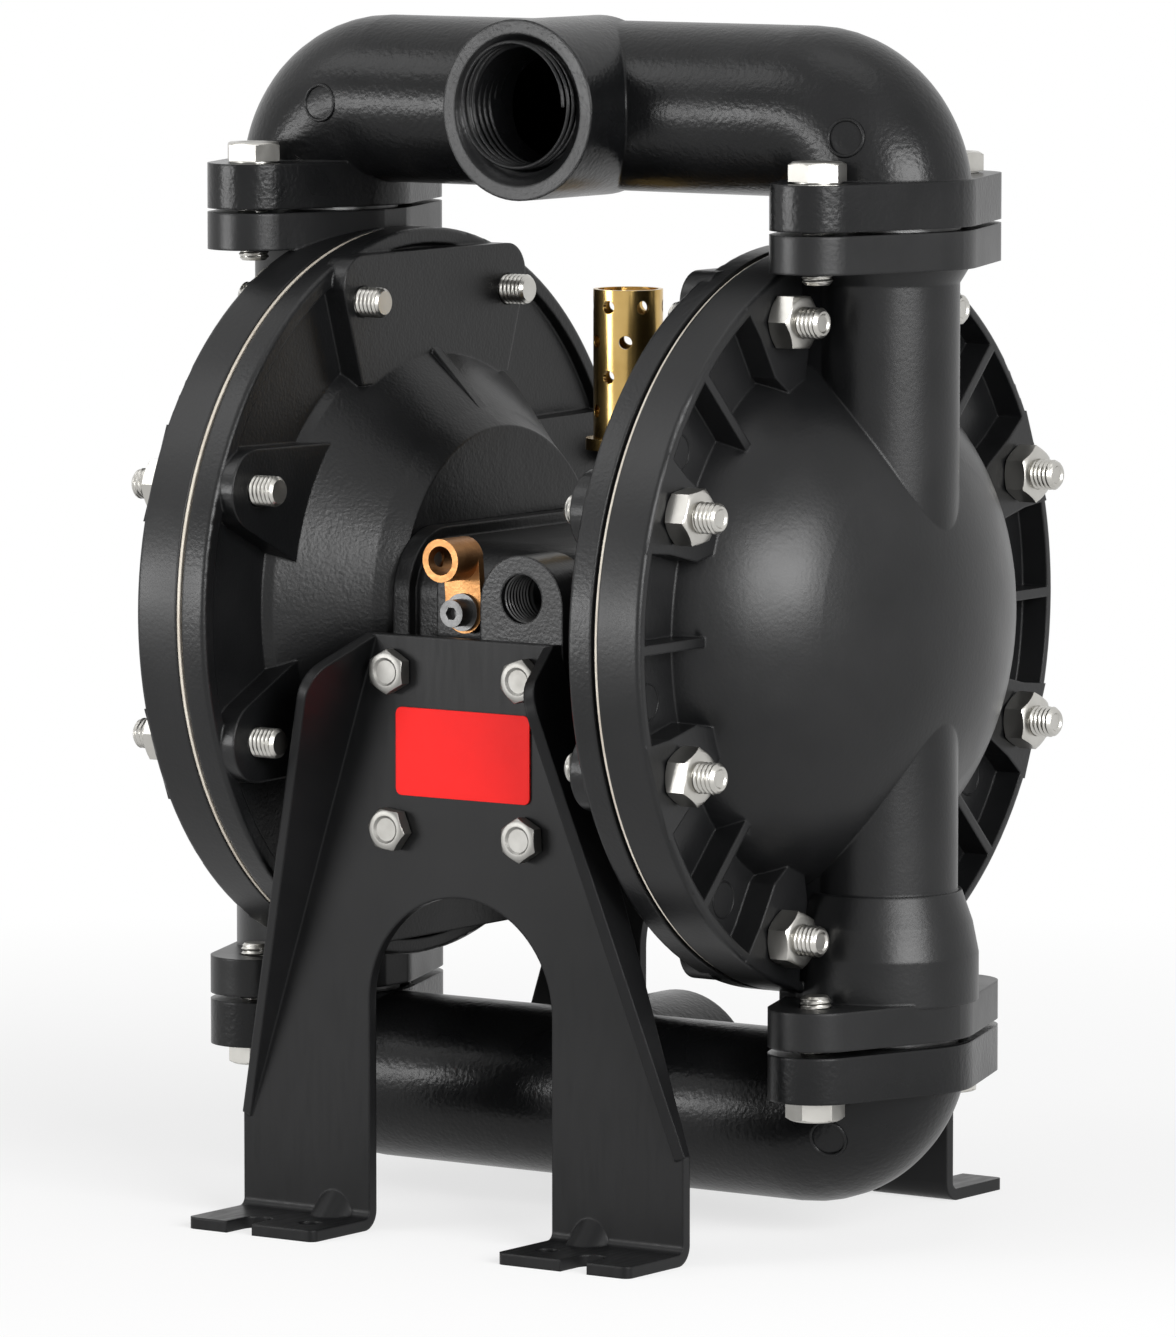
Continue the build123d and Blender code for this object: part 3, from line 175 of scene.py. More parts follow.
# %% Metals
def metal(name, light, dark, gloss, grain, depth, squeeze=(1, 1, 1)):
    """Bare metal; grain and depth give the size and depth of its relief."""
    material, tree, shader, place = new_finish(name)
    shader.inputs["Metallic"].default_value = 1.0
    skin = noise(tree, place, grain, 3, squeeze)
    drift = noise(tree, place, 9 * MM, 3)
    colour = tint(tree, spread(tree, drift, 0, 1), dark, light)
    paint(tree, shader, colour, spread(tree, skin, gloss - 0.02, gloss + 0.03))
    relief(tree, shader, 0.12 * MM, [(skin, depth)])
    return material


# Duller, darker copy of the plated steel for the bracket bolts, which face the low lamp: its rougher finish
# is real, its darker colour is painted shade.
dull_shaded_plated = metal("Dull plated steel with painted shade", (0.30, 0.295, 0.28), (0.23, 0.225, 0.21), 0.44,
                    2 * MM, 0.004 * MM)
plated = metal("Plated steel", (0.52, 0.51, 0.48), (0.46, 0.45, 0.42), 0.30, 3 * MM, 0.001 * MM)
polished = metal("Ground steel", (0.72, 0.72, 0.73), (0.60, 0.60, 0.61), 0.18, 0.4 * MM, 0.003 * MM)
# Dark steel of the pipe nipple, the earth screw and the seats; on the plated earth washer its darkness is
# painted shade.
dark_steel_and_shade = metal("Dark steel and painted shade", (0.16, 0.16, 0.16), (0.07, 0.07, 0.07), 0.38, 0.6 * MM, 0.02 * MM)
anodised = metal("Anodised plates", (0.50, 0.52, 0.55), (0.40, 0.42, 0.45), 0.34, 0.5 * MM, 0.004 * MM)
brass = metal("Turned brass", (0.60, 0.41, 0.15), (0.50, 0.33, 0.11), 0.20, 2 * MM, 0.001 * MM, (1, 1, 0.15))
bronze = metal("Cast bronze", (0.46, 0.235, 0.095), (0.28, 0.135, 0.050), 0.42, 0.8 * MM, 0.07 * MM)
print("metals:", ", ".join(m.name for m in (plated, polished, dark_steel_and_shade, anodised, brass, bronze)))

# %% [markdown]
# ## Soft parts, plastics and the label
# The diaphragms are a white fluoropolymer face over black rubber, and only a thin edge of them
# shows between the caps. The red plate on the bracket is a bare printed film.

# %% Plastics, rubber and label film
def soft_finish(name, light, dark, gloss, depth):
    """Plastic, rubber or film with a slight skin."""
    material, tree, shader, place = new_finish(name)
    drift = noise(tree, place, 14 * MM, 3)
    skin = noise(tree, place, 0.9 * MM, 2)
    colour = tint(tree, spread(tree, drift, 0, 1), dark, light)
    paint(tree, shader, colour, spread(tree, skin, gloss - 0.04, gloss + 0.05))
    shader.inputs["Specular IOR Level"].default_value = 0.12
    relief(tree, shader, 0.3 * MM, [(skin, depth)])
    return material


white_face = soft_finish("Fluoropolymer", (0.74, 0.69, 0.60), (0.58, 0.52, 0.44), 0.36, 0.004 * MM)
rubber = soft_finish("Black rubber", (0.022, 0.022, 0.022), (0.014, 0.014, 0.014), 0.62, 0.012 * MM)
pale_plastic = soft_finish("Bush plastic", (0.66, 0.65, 0.60), (0.58, 0.57, 0.53), 0.42, 0.006 * MM)
red_film = soft_finish("Red label film", (0.86, 0.012, 0.010), (0.82, 0.010, 0.009), 0.42, 0.003 * MM)
print("soft finishes:", ", ".join(m.name for m in (white_face, rubber, pale_plastic, red_film)))

# %% [markdown]
# ## Which solid has which finish
# Solids in left and right pairs share a name, so one table of stems covers both sides.

# %% Dress the solids
dress = {
    cap_coat: ["fluid_cap"],
    air_coat: ["air_cap", "centre_body"],
    pipe_coat: ["outlet_manifold", "inlet_manifold"],
    bracket_coat: ["bracket"],
    plated: ["cap_studs", "cap_nuts", "outlet_bolts", "inlet_bolts", "bracket_bolts", "hub_screws",
             "lug_clamp", "diaphragm_screw"],
    polished: ["rod", "pilot_rod", "pilot_sleeve", "valve_sleeve"],
    anodised: ["inner_plate", "outer_plate", "valve_spool", "valve_plug"],
    white_face: ["diaphragm", "inlet_ball", "outlet_ball"],
    rubber: ["backup_diaphragm", "hub_gasket", "rod_seal", "outlet_seat_rings", "inlet_seat_rings"],
    pale_plastic: ["rod_bush"],
    brass: ["muffler_tube", "muffler_collar"],
    # The earth washer is plated, but it takes the dark steel finish as painted shade, since it faces the low
    # lamp.
    dark_steel_and_shade: ["exhaust_nipple", "ground_screw", "ground_washer", "inlet_seat", "outlet_seat"],
    bronze: ["ground_lug"],
    red_film: ["label_plate"],
}


def members(stem):
    """The solids that have this name, alone or with a side after it."""
    sides = ("", "_left", "_right", "_front", "_rear")
    return [nodes[stem + side] for side in sides if stem + side in nodes]


for material, stems in dress.items():
    for stem in stems:
        for solid in members(stem):
            solid.data.materials.clear()
            solid.data.materials.append(material)
bare = [name for name, solid in nodes.items() if solid.data.materials[0] not in dress]
print("solids without a finish:", bare or "none")

# %% [markdown]
# ## Turned shapes: studs, nuts and bolts
# A stud is a turned bar with a helical groove, and a nut is a turned ring cut by six flats. Both
# could be cut with booleans, but they are easier as rings of points: each ring has a radius and a
# height, and a limit then pulls in what would stand outside the thread or the hexagon. The limit
# on a chamfered ring gives the curved edges that real hexagons have.

# %% Rings of points about an axis
STUD_R = 4.0 * MM
STUD_PITCH = 1.25 * MM
STUD_FLATS = 13.0 * MM
SCREW_R = 3.0 * MM
SCREW_PITCH = 1.0 * MM
SCREW_FLATS = 10.0 * MM
CHAMFER_SLOPE = math.tan(math.radians(28))
THREAD_DEPTH = 0.36         # share of the pitch


def hexagon_limit(flats):
    """Distance from the axis to the hexagon's side, at any angle."""
    def limit(angle, height):
        return flats / 2 / math.cos((angle + math.pi / 6) % (math.pi / 3) - math.pi / 6)
    return limit


def thread_limit(radius, pitch):
    """Distance from the axis to the thread's flank."""
    def limit(angle, height):
        turn = (height / pitch - angle / (2 * math.pi)) % 1
        return radius - THREAD_DEPTH * pitch * min(1, 2.4 * abs(turn - 0.5))
    return limit


def turned(name, rows, steps, limit, ring=False):
    """Mesh turned about Z from (radius, height) rows; ring joins the last row to the first."""
    points = []
    for radius, height in rows:
        for step in range(steps):
            angle = 2 * math.pi * step / steps
            reach = min(radius, limit(angle, height))
            points.append((reach * math.cos(angle), reach * math.sin(angle), height))
    faces = []
    for row in range(len(rows) if ring else len(rows) - 1):
        low, high = row * steps, (row + 1) % len(rows) * steps
        faces += [(low + i, low + (i + 1) % steps, high + (i + 1) % steps, high + i) for i in range(steps)]
    mesh = bpy.data.meshes.new(name)
    mesh.from_pydata(points, [], faces)
    tidy(mesh)
    return mesh


def tidy(mesh, sharp=34):
    """Merge doubled points, turn faces outwards and smooth all but the sharp edges."""
    work = bmesh.new()
    work.from_mesh(mesh)
    bmesh.ops.remove_doubles(work, verts=work.verts, dist=1e-7)
    bmesh.ops.dissolve_degenerate(work, edges=work.edges, dist=1e-7)
    bmesh.ops.recalc_face_normals(work, faces=work.faces)
    work.to_mesh(mesh)
    work.free()
    mesh.shade_smooth()
    mesh.set_sharp_from_angle(angle=math.radians(sharp))


def threaded_rows(radius, pitch, low, high):
    """Rows of a threaded bar with chamfered ends, from low to high."""
    core = radius - 0.75 * pitch
    count = round((high - low) / pitch * 6)
    heights = [low + (high - low) * i / count for i in range(count + 1)]
    return [(min(radius, core + h - low, core + high - h), h) for h in heights]


def dished(radius, height, depth):
    """Rows of a shallow round dish in an end face, from its middle out to its rim."""
    return [(0, height - depth), (0.82 * radius, height - depth), (radius, height)]


# %% Studs and nuts
def stud_mesh(length):
    rows = [(0, 0), *threaded_rows(STUD_R, STUD_PITCH, 0, length),
            *dished(0.62 * STUD_R, length, 0.4 * MM)[::-1]]
    return turned("stud", rows, 24, thread_limit(STUD_R, STUD_PITCH))


def chamfered(flats, height, up=1):
    """Rows from the flat face to the corner of a hexagon, whose edge is turned to a cone."""
    start, corner = 0.475 * flats, flats / math.sqrt(3)
    radii = [start + (corner - start) * i / 6 for i in range(7)]
    return [(r, height - up * (r - start) * CHAMFER_SLOPE) for r in radii]


def nut_mesh(height, flats, bore):
    mouth = bore + 0.5 * MM
    outside = chamfered(flats, 0, -1) + chamfered(flats, height)[::-1]
    rows = [(bore, mouth - bore), (mouth, 0), *outside, (mouth, height), (bore, height - mouth + bore)]
    return turned("nut", rows, 60, hexagon_limit(flats), ring=True)


# %% Bolts with a hexagon head
def bolt_mesh(head, flats, radius, pitch, length):
    """Bolt along Z: its head above zero, its shank below."""
    hexagon, thread = hexagon_limit(flats), thread_limit(radius, pitch)
    face = 0.4 * MM
    shank = [(r, h) for r, h in threaded_rows(radius, pitch, -length, face)[::-1] if h < 0]
    rows = [*dished(0.36 * flats, head, 0.5 * MM), *chamfered(flats, head),
            (flats / math.sqrt(3), face), (0.475 * flats, face),
            (0.475 * flats, 0), (radius, 0), *shank, (0, -length)]
    return turned("bolt", rows, 48, lambda a, h: hexagon(a, h) if h >= 0 else thread(a, h))


print("stud of 45 mm:", len(stud_mesh(45 * MM).polygons), "faces")

# %% [markdown]
# ## Seating fasteners with Geometry Nodes
# The pump has 44 studs, nuts and bolts of five kinds. Each could be copied by hand to its place,
# but a Geometry Nodes tree sets one model of a fastener on every point of a small mesh, and spins
# each about its own axis by a seeded random angle, as a fitter leaves them.

# %% The tree that seats fasteners
def seating_tree():
    tree = bpy.data.node_groups.new("Seat fasteners", "GeometryNodeTree")
    for name, kind in (("Places", "Geometry"), ("Fastener", "Object"), ("Axis", "Vector"),
                       ("Seed", "Int"), ("Finish", "Material")):
        tree.interface.new_socket(name, in_out="INPUT", socket_type="NodeSocket" + kind)
    tree.interface.new_socket("Fasteners", in_out="OUTPUT", socket_type="NodeSocketGeometry")
    given = tree.nodes.new("NodeGroupInput")
    model = tree.nodes.new("GeometryNodeObjectInfo")
    spin = tree.nodes.new("FunctionNodeRandomValue")
    turn = tree.nodes.new("FunctionNodeAxisAngleToRotation")
    place = tree.nodes.new("GeometryNodeInstanceOnPoints")
    real = tree.nodes.new("GeometryNodeRealizeInstances")
    finish = tree.nodes.new("GeometryNodeSetMaterial")
    made = tree.nodes.new("NodeGroupOutput")
    spin.data_type = "FLOAT"
    angle = [s for s in spin.outputs if s.type == "VALUE"][0]
    highest = [s for s in spin.inputs if s.name == "Max" and s.type == "VALUE"][0]
    highest.default_value = 2 * math.pi
    for source, target in (
            (given.outputs["Fastener"], model.inputs["Object"]),
            (given.outputs["Seed"], spin.inputs["Seed"]),
            (given.outputs["Axis"], turn.inputs["Axis"]),
            (angle, turn.inputs["Angle"]),
            (given.outputs["Places"], place.inputs["Points"]),
            (model.outputs["Geometry"], place.inputs["Instance"]),
            (turn.outputs["Rotation"], place.inputs["Rotation"]),
            (place.outputs["Instances"], real.inputs["Geometry"]),
            (real.outputs["Geometry"], finish.inputs["Geometry"]),
            (given.outputs["Finish"], finish.inputs["Material"]),
            (finish.outputs["Geometry"], made.inputs["Fasteners"])):
        tree.links.new(source, target)
    return tree


seat_tree = seating_tree()
print("tree", seat_tree.name, "has", len(seat_tree.nodes), "nodes")

# %% [markdown]
# A solid such as `cap_nuts_right` holds eight separate nuts. Splitting its mesh into islands gives
# each one's box, so every model lands exactly where its solid is, with no places typed in again.

# %% Islands of a solid, and fasteners set on them
def islands(name):
    """(lowest, highest) corners of each separate lump of a solid."""
    work = bmesh.new()
    work.from_mesh(nodes[name].data)
    bmesh.ops.remove_doubles(work, verts=work.verts, dist=1e-6)
    left, boxes = set(work.verts), []
    while left:
        front = [left.pop()]
        lump = list(front)
        while front:
            found = {e.other_vert(v) for v in front for e in v.link_edges} & left
            left -= found
            front = list(found)
            lump += front
        boxes.append(tuple(Vector([f(v.co[k] for v in lump) for k in range(3)]) for f in (min, max)))
    work.free()
    return boxes


def evaluated_mesh(thing):
    """Plain mesh of an object with its modifiers worked out."""
    graph = bpy.context.evaluated_depsgraph_get()
    return bpy.data.meshes.new_from_object(thing.evaluated_get(graph))


def new_piece(name, mesh, body="pump_body", stands_for=()):
    """Piece of the pump that rides on a body, and may stand for solids."""
    piece = bpy.data.objects.new(name, mesh)
    bpy.context.scene.collection.objects.link(piece)
    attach(piece, body)
    if stands_for:
        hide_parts(*stands_for)
    return piece


def seat_fasteners(name, model, axis, seats, seed, solid=None, finish=plated):
    """Set the model, turned to the axis, on the seats, in place of the solid if there is one."""
    model.transform(Vector(axis).to_track_quat("Z", "Y").to_matrix().to_4x4())
    tool = bpy.data.objects.new(name + "_model", model)
    dots = bpy.data.meshes.new(name + "_seats")
    dots.from_pydata(seats, [], [])
    holder = bpy.data.objects.new(name + "_holder", dots)
    bpy.context.scene.collection.objects.link(holder)
    modifier = holder.modifiers.new("Seat", "NODES")
    modifier.node_group = seat_tree
    keys = {s.name: s.identifier for s in seat_tree.interface.items_tree if s.in_out == "INPUT"}
    for key, value in (("Fastener", tool), ("Axis", axis), ("Seed", seed), ("Finish", finish)):
        modifier[keys[key]] = value
    mesh = evaluated_mesh(holder)
    bpy.data.objects.remove(holder)
    bpy.data.objects.remove(tool)
    print(name, "has", len(seats), "copies and", len(mesh.polygons), "faces")
    return new_piece(name, mesh, stands_for=[solid] if solid else ())


# %% Set the studs and nuts of the four flanges
def seat_point(box, axis, at_end):
    """Middle of an island's box, at its low or high end along one axis."""
    point = (box[0] + box[1]) / 2
    point[axis] = box[1][axis] if at_end else box[0][axis]
    return tuple(point)


for seed, side in enumerate(("right", "left")):
    outwards = 1 if side == "right" else -1
    studs, nuts = islands("cap_studs_" + side), islands("cap_nuts_" + side)
    length = studs[0][1].x - studs[0][0].x
    height = nuts[0][1].x - nuts[0][0].x
    seat_fasteners("threaded_studs_" + side, stud_mesh(length), (outwards, 0, 0),
                   [seat_point(box, 0, outwards < 0) for box in studs], seed, "cap_studs_" + side)
    seat_fasteners("hexagon_nuts_" + side, nut_mesh(height, STUD_FLATS, STUD_R - 0.5 * MM), (outwards, 0, 0),
                   [seat_point(box, 0, outwards < 0) for box in nuts], seed + 5, "cap_nuts_" + side)

# %% Set the manifold bolts and the bracket bolts
HEAD_M8 = 5.3 * MM
HEAD_M6 = 4.0 * MM


def seat_bolts(name, solid, axis, head, flats, radius, pitch, seed):
    """Bolts whose heads point along the axis."""
    way = [abs(v) for v in axis].index(1)
    up = axis[way] > 0
    boxes = islands(solid)
    length = boxes[0][1][way] - boxes[0][0][way] - head
    seats = []
    for box in boxes:
        point = Vector(seat_point(box, way, up))
        seats.append(tuple(point - Vector(axis) * head))
    # Bracket bolts take the duller copy of plated steel: its roughness is real, its darker colour is painted
    # shade.
    finish = dull_shaded_plated if "bracket" in solid else plated
    seat_fasteners(name, bolt_mesh(head, flats, radius, pitch, length), axis, seats, seed, solid, finish)


seat_bolts("outlet_hexagon_bolts", "outlet_bolts", (0, 0, 1), HEAD_M8, STUD_FLATS, STUD_R, STUD_PITCH, 11)
seat_bolts("inlet_hexagon_bolts", "inlet_bolts", (0, 0, -1), HEAD_M8, STUD_FLATS, STUD_R, STUD_PITCH, 12)
m6 = (HEAD_M6, SCREW_FLATS, SCREW_R, SCREW_PITCH)
seat_bolts("front_bracket_screws", "bracket_bolts_front", (0, -1, 0), *m6, 13)
seat_bolts("rear_bracket_screws", "bracket_bolts_rear", (0, 1, 0), *m6, 14)

# %% [markdown]
# ## Pipe threads
# The two ports and the air inlet are threaded inside. A Geometry Nodes tree sweeps a four sided
# ridge along a spiral, so one tree cuts all three from a radius, a length and a count of turns.

# %% The tree that winds a thread
def thread_tree():
    tree = bpy.data.node_groups.new("Wind a thread", "GeometryNodeTree")
    for name, kind in (("Radius", "Float"), ("Length", "Float"), ("Turns", "Float"),
                       ("Ridge", "Float"), ("Finish", "Material")):
        tree.interface.new_socket(name, in_out="INPUT", socket_type="NodeSocket" + kind)
    tree.interface.new_socket("Thread", in_out="OUTPUT", socket_type="NodeSocketGeometry")
    given = tree.nodes.new("NodeGroupInput")
    path = tree.nodes.new("GeometryNodeCurveSpiral")
    upright = tree.nodes.new("GeometryNodeSetCurveNormal")
    section = tree.nodes.new("GeometryNodeCurvePrimitiveCircle")
    sweep = tree.nodes.new("GeometryNodeCurveToMesh")
    real = tree.nodes.new("GeometryNodeRealizeInstances")
    finish = tree.nodes.new("GeometryNodeSetMaterial")
    made = tree.nodes.new("NodeGroupOutput")
    upright.mode = "Z_UP"
    path.inputs["Resolution"].default_value = 48
    section.inputs["Resolution"].default_value = 4
    sweep.inputs["Fill Caps"].default_value = True
    ridge = [s for s in section.inputs if s.name == "Radius" and s.enabled][0]
    for source, target in (
            (given.outputs["Radius"], path.inputs["Start Radius"]),
            (given.outputs["Radius"], path.inputs["End Radius"]),
            (given.outputs["Length"], path.inputs["Height"]),
            (given.outputs["Turns"], path.inputs["Rotations"]),
            (given.outputs["Ridge"], ridge),
            (path.outputs["Curve"], upright.inputs["Curve"]),
            (upright.outputs["Curve"], sweep.inputs["Curve"]),
            (section.outputs["Curve"], sweep.inputs["Profile Curve"]),
            (sweep.outputs["Mesh"], real.inputs["Geometry"]),
            (real.outputs["Geometry"], finish.inputs["Geometry"]),
            (given.outputs["Finish"], finish.inputs["Material"]),
            (finish.outputs["Geometry"], made.inputs["Thread"])):
        tree.links.new(source, target)
    return tree


wind_tree = thread_tree()
print("tree", wind_tree.name, "has", len(wind_tree.nodes), "nodes")

# %% Wind the three threads
def wind_thread(name, start, radius, length, pitch, finish):
    """Thread inside a bore that runs to the rear from its start."""
    holder = bpy.data.objects.new(name + "_holder", bpy.data.meshes.new(name + "_holder"))
    bpy.context.scene.collection.objects.link(holder)
    modifier = holder.modifiers.new("Wind", "NODES")
    modifier.node_group = wind_tree
    keys = {s.name: s.identifier for s in wind_tree.interface.items_tree if s.in_out == "INPUT"}
    for key, value in (("Radius", radius), ("Length", length), ("Turns", length / pitch),
                       ("Ridge", 0.24 * pitch), ("Finish", finish)):
        modifier[keys[key]] = value
    mesh = evaluated_mesh(holder)
    bpy.data.objects.remove(holder)
    tidy(mesh)
    mesh.transform(Matrix.Translation(start) @ Matrix.Rotation(-math.pi / 2, 4, "X"))
    print(name, "has", round(length / pitch, 1), "turns and", len(mesh.polygons), "faces")
    return new_piece(name, mesh)


PORT_R = 15.9 * MM
PORT_PITCH = 2.31 * MM
PORT_INSET = 3.9 * MM
PORT_LENGTH = 15.0 * MM
AIR_X, AIR_Z = 17.0 * MM, 164.3 * MM
AIR_R = 6.2 * MM
AIR_PITCH = 1.34 * MM
AIR_LENGTH = 10.5 * MM


def box_of(name):
    """Lowest and highest corners of a solid."""
    corners = [v.co for v in nodes[name].data.vertices]
    return [Vector([pick(c[k] for c in corners) for k in range(3)]) for pick in (min, max)]


outlet_low, outlet_high = box_of("outlet_manifold")
inlet_low, inlet_high = box_of("inlet_manifold")
body_low, body_high = box_of("centre_body")
tube_r = 21.7 * MM
outlet_z, inlet_z = outlet_high.z - tube_r, inlet_low.z + tube_r
outlet_start = (0, outlet_low.y + PORT_INSET, outlet_z)
inlet_start = (0, inlet_high.y - PORT_INSET - PORT_LENGTH, inlet_z)
air_start = (AIR_X, body_low.y + 1.2 * MM, AIR_Z)
wind_thread("outlet_port_thread", outlet_start, PORT_R, PORT_LENGTH, PORT_PITCH, pipe_coat)
wind_thread("inlet_port_thread", inlet_start, PORT_R, PORT_LENGTH, PORT_PITCH, pipe_coat)
wind_thread("air_inlet_thread", air_start, AIR_R, AIR_LENGTH, AIR_PITCH, dark_steel_and_shade)

# %% [markdown]
# ## Casting marks
# Die casting leaves traces: round ejector marks in the pockets of the caps, and raised rings on
# the pipes. A ray cast on the solid finds where a ring meets a curved pipe, and how it tilts.

# %% Ejector marks in the pockets and rings on the pipes
MARK_COUNT = 8
MARK_CIRCLE_R = 81.5 * MM
POCKET_X = 70.0 * MM
AXIS_Z = 157.5 * MM
VIEW = Vector((0.5693, -0.8155, 0.1045))


def ring_mesh(radius, width, height):
    """Low raised ring about Z, sunk a little below zero."""
    rows = [(radius - width, -height), (radius - width / 2, height), (radius + width / 2, height),
            (radius + width, -height)]
    return turned("ring", rows, 40, lambda angle, rise: radius + width, ring=True)


for seed, side in enumerate((1, -1)):
    places = []
    for i in range(MARK_COUNT):
        angle = math.radians(360 / MARK_COUNT * i + 10)
        y, z = MARK_CIRCLE_R * math.cos(angle), AXIS_Z + MARK_CIRCLE_R * math.sin(angle)
        places.append((side * POCKET_X, y, z))
    name = "ejector_marks_right" if side > 0 else "ejector_marks_left"
    seat_fasteners(name, ring_mesh(4.6 * MM, 0.4 * MM, 0.18 * MM), (side, 0, 0), places, seed,
                   finish=cap_coat)


def pipe_mark(name, solid, start, radius):
    """Raised ring where the line of sight through start meets a pipe."""
    hit, point, normal, face = nodes[solid].ray_cast(Vector(start) * MM + 0.2 * VIEW, -VIEW)
    mesh = ring_mesh(radius, 0.5 * MM, 0.3 * MM)
    mesh.transform(Matrix.Translation(point) @ normal.to_track_quat("Z", "Y").to_matrix().to_4x4())
    mesh.materials.append(pipe_coat)
    print(name, "lies at", *[round(v, 4) for v in point])
    return new_piece(name, mesh)


pipe_mark("outlet_mark_left", "outlet_manifold", (-65.4, -33.3, 286.7), 4.6 * MM)
pipe_mark("outlet_mark_right", "outlet_manifold", (45.0, 42.0, 272.6), 4.6 * MM)
pipe_mark("inlet_mark_right", "inlet_manifold", (57.1, 18.4, 23.3), 4.6 * MM)

# %% [markdown]
# ## Rims of the diaphragms
# Each pair of caps clamps a diaphragm, and its pale edge shows as a thin line between the black
# flanges. The solid's edge lies deep in that groove, so a narrow rim carries it almost flush.

# %% A pale rim in each groove
RIM_R = 94.6 * MM
RIM_DEPTH = 1.2 * MM
RIM_WIDTH = 0.8 * MM
RIM_X = 64.1 * MM


def rim_mesh():
    """Flat ring about Z with a rectangular section."""
    inner = RIM_R - RIM_DEPTH
    rows = [(inner, 0), (RIM_R, 0), (RIM_R, RIM_WIDTH), (inner, RIM_WIDTH)]
    return turned("rim", rows, 200, lambda angle, rise: RIM_R, ring=True)


for side in (1, -1):
    rim = rim_mesh()
    turn = Vector((side, 0, 0)).to_track_quat("Z", "Y").to_matrix().to_4x4()
    rim.transform(Matrix.Translation((side * RIM_X, 0, AXIS_Z)) @ turn)
    rim.materials.append(white_face)
    piece = new_piece("diaphragm_rim_right" if side > 0 else "diaphragm_rim_left", rim)
    print(piece.name, "has", len(rim.polygons), "faces")

# %% [markdown]
# ## The red plate
# The plate on the bracket has rounded corners and carries no words.

# %% Plate with rounded corners
def rounded_plate(name, low, high, radius, steps=8):
    """Plate that fills a box and is thin along Y."""
    outline = []
    for cx, cz, start in ((high.x - radius, high.z - radius, 0), (low.x + radius, high.z - radius, 90),
                          (low.x + radius, low.z + radius, 180), (high.x - radius, low.z + radius, 270)):
        for i in range(steps + 1):
            angle = math.radians(start + 90 * i / steps)
            outline.append((cx + radius * math.cos(angle), cz + radius * math.sin(angle)))
    count = len(outline)
    points = [(x, y, z) for y in (low.y, high.y) for x, z in outline]
    sides = [(i, (i + 1) % count, count + (i + 1) % count, count + i) for i in range(count)]
    mesh = bpy.data.meshes.new(name)
    mesh.from_pydata(points, [], [tuple(range(count)), tuple(range(count, 2 * count)), *sides])
    tidy(mesh)
    mesh.materials.append(red_film)
    return mesh


plate = rounded_plate("red_plate", *box_of("label_plate"), 1.8 * MM)
new_piece("red_plate", plate, stands_for=["label_plate"])
print("red plate has", len(plate.polygons), "faces")

# %% [markdown]
# ## Floor, light and camera
# The pump stands on a white sweep. The world and the floor show white to the camera and to
# mirror-like rays, while broad lamps light the pump at a plain level, so its colours stay true.

# %% Floor
def seen_directly(tree):
    """1 for rays from the camera, off a shiny surface or through glass, and 0 for the rest."""
    rays = tree.nodes.new("ShaderNodeLightPath")
    value = rays.outputs["Is Camera Ray"]
    for name in ("Is Glossy Ray", "Is Transmission Ray"):
        most = tree.nodes.new("ShaderNodeMath")
        most.operation = "MAXIMUM"
        tree.links.new(value, most.inputs[0])
        tree.links.new(rays.outputs[name], most.inputs[1])
        value = most.outputs[0]
    return value


FADE_START, FADE_END = 0.20, 0.60
FLOOR_REACH = 9.0


def white_floor():
    """Matt white that keeps the shadow under the pump and is plain white far from it."""
    material, tree, shader, place = new_finish("White floor")
    shader.inputs["Roughness"].default_value = 0.9
    shader.inputs["Specular IOR Level"].default_value = 0.1
    grain = noise(tree, place, 0.4, 2)
    tree.links.new(tint(tree, grain, (0.92, 0.92, 0.92), (0.94, 0.94, 0.94)), shader.inputs["Base Color"])
    away = tree.nodes.new("ShaderNodeVectorMath")
    away.operation = "LENGTH"
    tree.links.new(place, away.inputs[0])
    share = tree.nodes.new("ShaderNodeMath")
    share.operation = "MULTIPLY"
    tree.links.new(spread(tree, away.outputs["Value"], 0.70, 1, FADE_START, FADE_END), share.inputs[0])
    tree.links.new(seen_directly(tree), share.inputs[1])
    glow = tree.nodes.new("ShaderNodeEmission")
    glow.inputs["Color"].default_value = (1, 1, 1, 1)
    mix = tree.nodes.new("ShaderNodeMixShader")
    tree.links.new(share.outputs[0], mix.inputs[0])
    tree.links.new(shader.outputs[0], mix.inputs[1])
    tree.links.new(glow.outputs[0], mix.inputs[2])
    tree.links.new(mix.outputs[0], tree.nodes["Material Output"].inputs["Surface"])
    return material


mesh = bpy.data.meshes.new("floor")
ends = (-FLOOR_REACH, FLOOR_REACH)
mesh.from_pydata([(x, y, 0) for x in ends for y in ends], [], [(0, 2, 3, 1)])
mesh.materials.append(white_floor())
floor = bpy.data.objects.new("floor", mesh)
bpy.context.scene.collection.objects.link(floor)
floor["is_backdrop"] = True
print("floor reaches", FLOOR_REACH, "m each way")

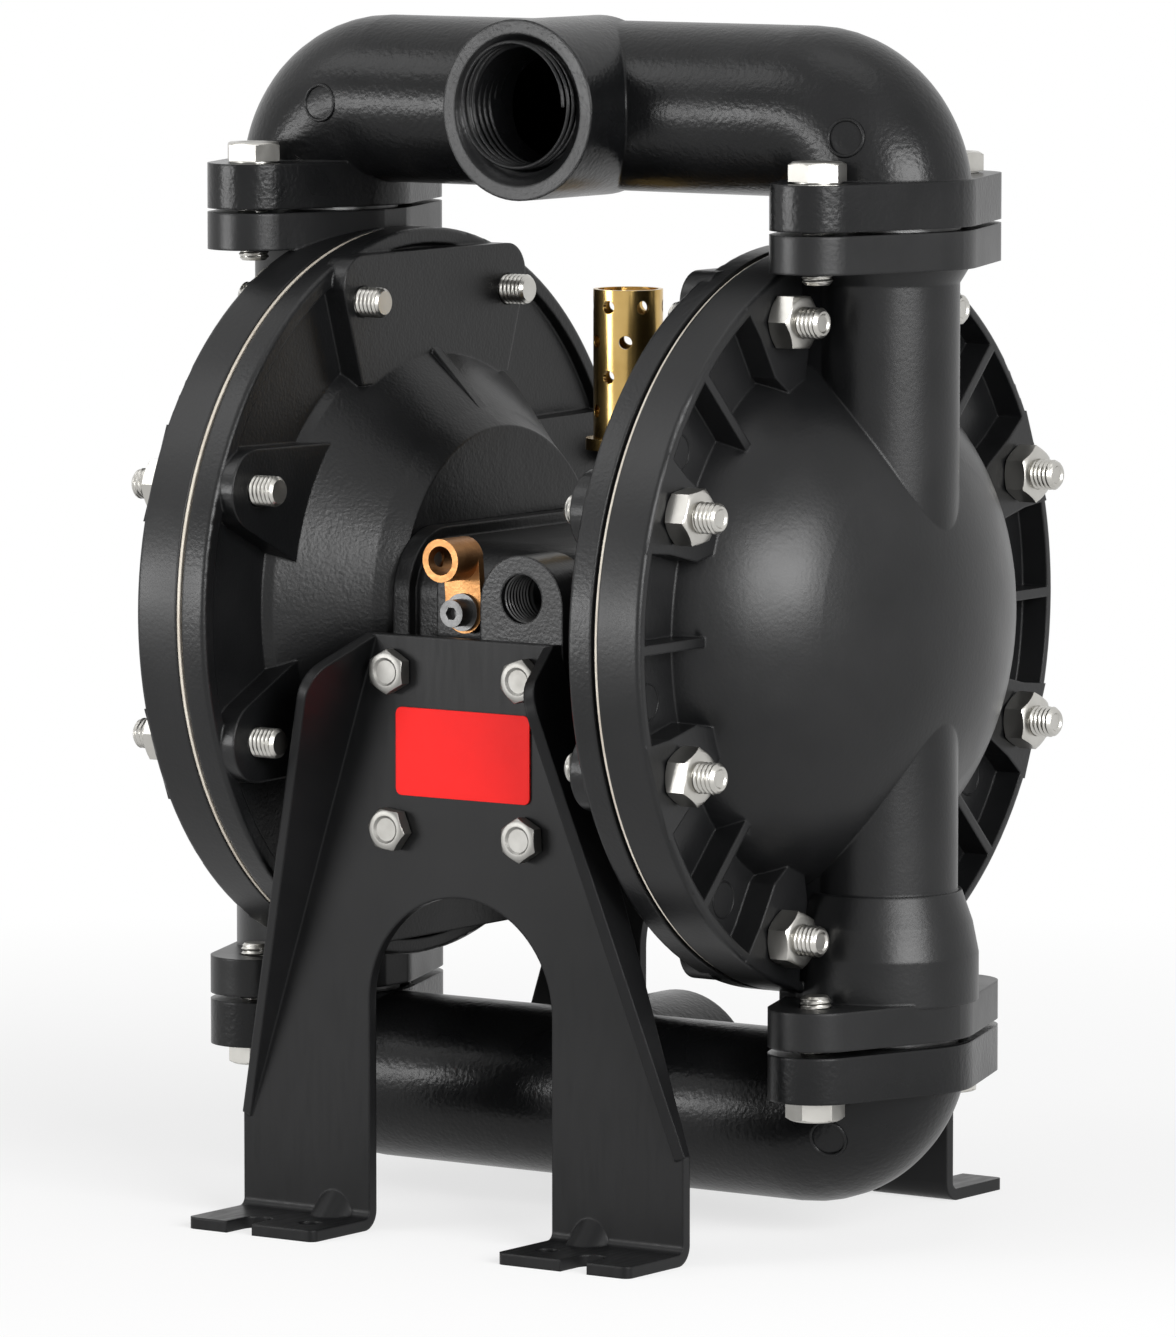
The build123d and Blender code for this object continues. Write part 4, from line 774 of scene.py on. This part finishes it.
# %% World and lamps
WORLD_LEVEL = 0.30
world = bpy.data.worlds.new("Studio")
bpy.context.scene.world = world
world.use_nodes = True
background = world.node_tree.nodes["Background"]
background.inputs["Color"].default_value = (1, 1, 1, 1)
level = spread(world.node_tree, seen_directly(world.node_tree), WORLD_LEVEL, 1, 0, 1)
world.node_tree.links.new(level, background.inputs["Strength"])

AIM = Vector((0, 0, 0.155))


def softbox(name, azimuth, elevation, distance, width, height, power):
    """Rectangular lamp that faces the pump from this direction."""
    lamp = bpy.data.lights.new(name, "AREA")
    lamp.shape = "RECTANGLE"
    lamp.size, lamp.size_y, lamp.energy = width, height, power
    thing = bpy.data.objects.new(name, lamp)
    a, e = math.radians(azimuth), math.radians(elevation)
    back = Vector((math.sin(a) * math.cos(e), -math.cos(a) * math.cos(e), math.sin(e)))
    thing.location = AIM + back * distance
    thing.rotation_mode = "QUATERNION"
    thing.rotation_quaternion = (-back).to_track_quat("-Z", "Y")
    bpy.context.scene.collection.objects.link(thing)


softbox("key", 67, 17, 1.5, 1.00, 0.65, 28)
softbox("window", -50, 42, 1.7, 0.90, 0.60, 4)
softbox("low_left", -36, 3, 1.2, 0.60, 0.20, 5.5)
softbox("top", 20, 84, 1.6, 1.0, 0.8, 3)

# %% Camera
CAMERA_AZIMUTH, CAMERA_ELEVATION = math.radians(34.915), math.radians(6.001)
camera_data = bpy.data.cameras.new("camera")
camera_data.lens = 258.5
camera_data.sensor_width = 36.0
camera = bpy.data.objects.new("camera", camera_data)
camera.location = (1.4052, -2.01879, 0.39922)
back = Vector((math.sin(CAMERA_AZIMUTH) * math.cos(CAMERA_ELEVATION),
               -math.cos(CAMERA_AZIMUTH) * math.cos(CAMERA_ELEVATION), math.sin(CAMERA_ELEVATION)))
camera.rotation_mode = "QUATERNION"
camera.rotation_quaternion = (-back).to_track_quat("-Z", "Y")
camera_data.clip_end = 50
bpy.context.scene.collection.objects.link(camera)
bpy.context.scene.camera = camera
bpy.context.scene.view_settings.view_transform = "Standard"

# %% [markdown]
# ## The box of the dressed pump
# The box of everything that is shown, the floor left out, is worked out and printed.

# %% The box of the dressed pump
visual_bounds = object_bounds()
low, high = ([round(v, 4) for v in corner] for corner in visual_bounds)
print("visual box from", *low, "to", *high)
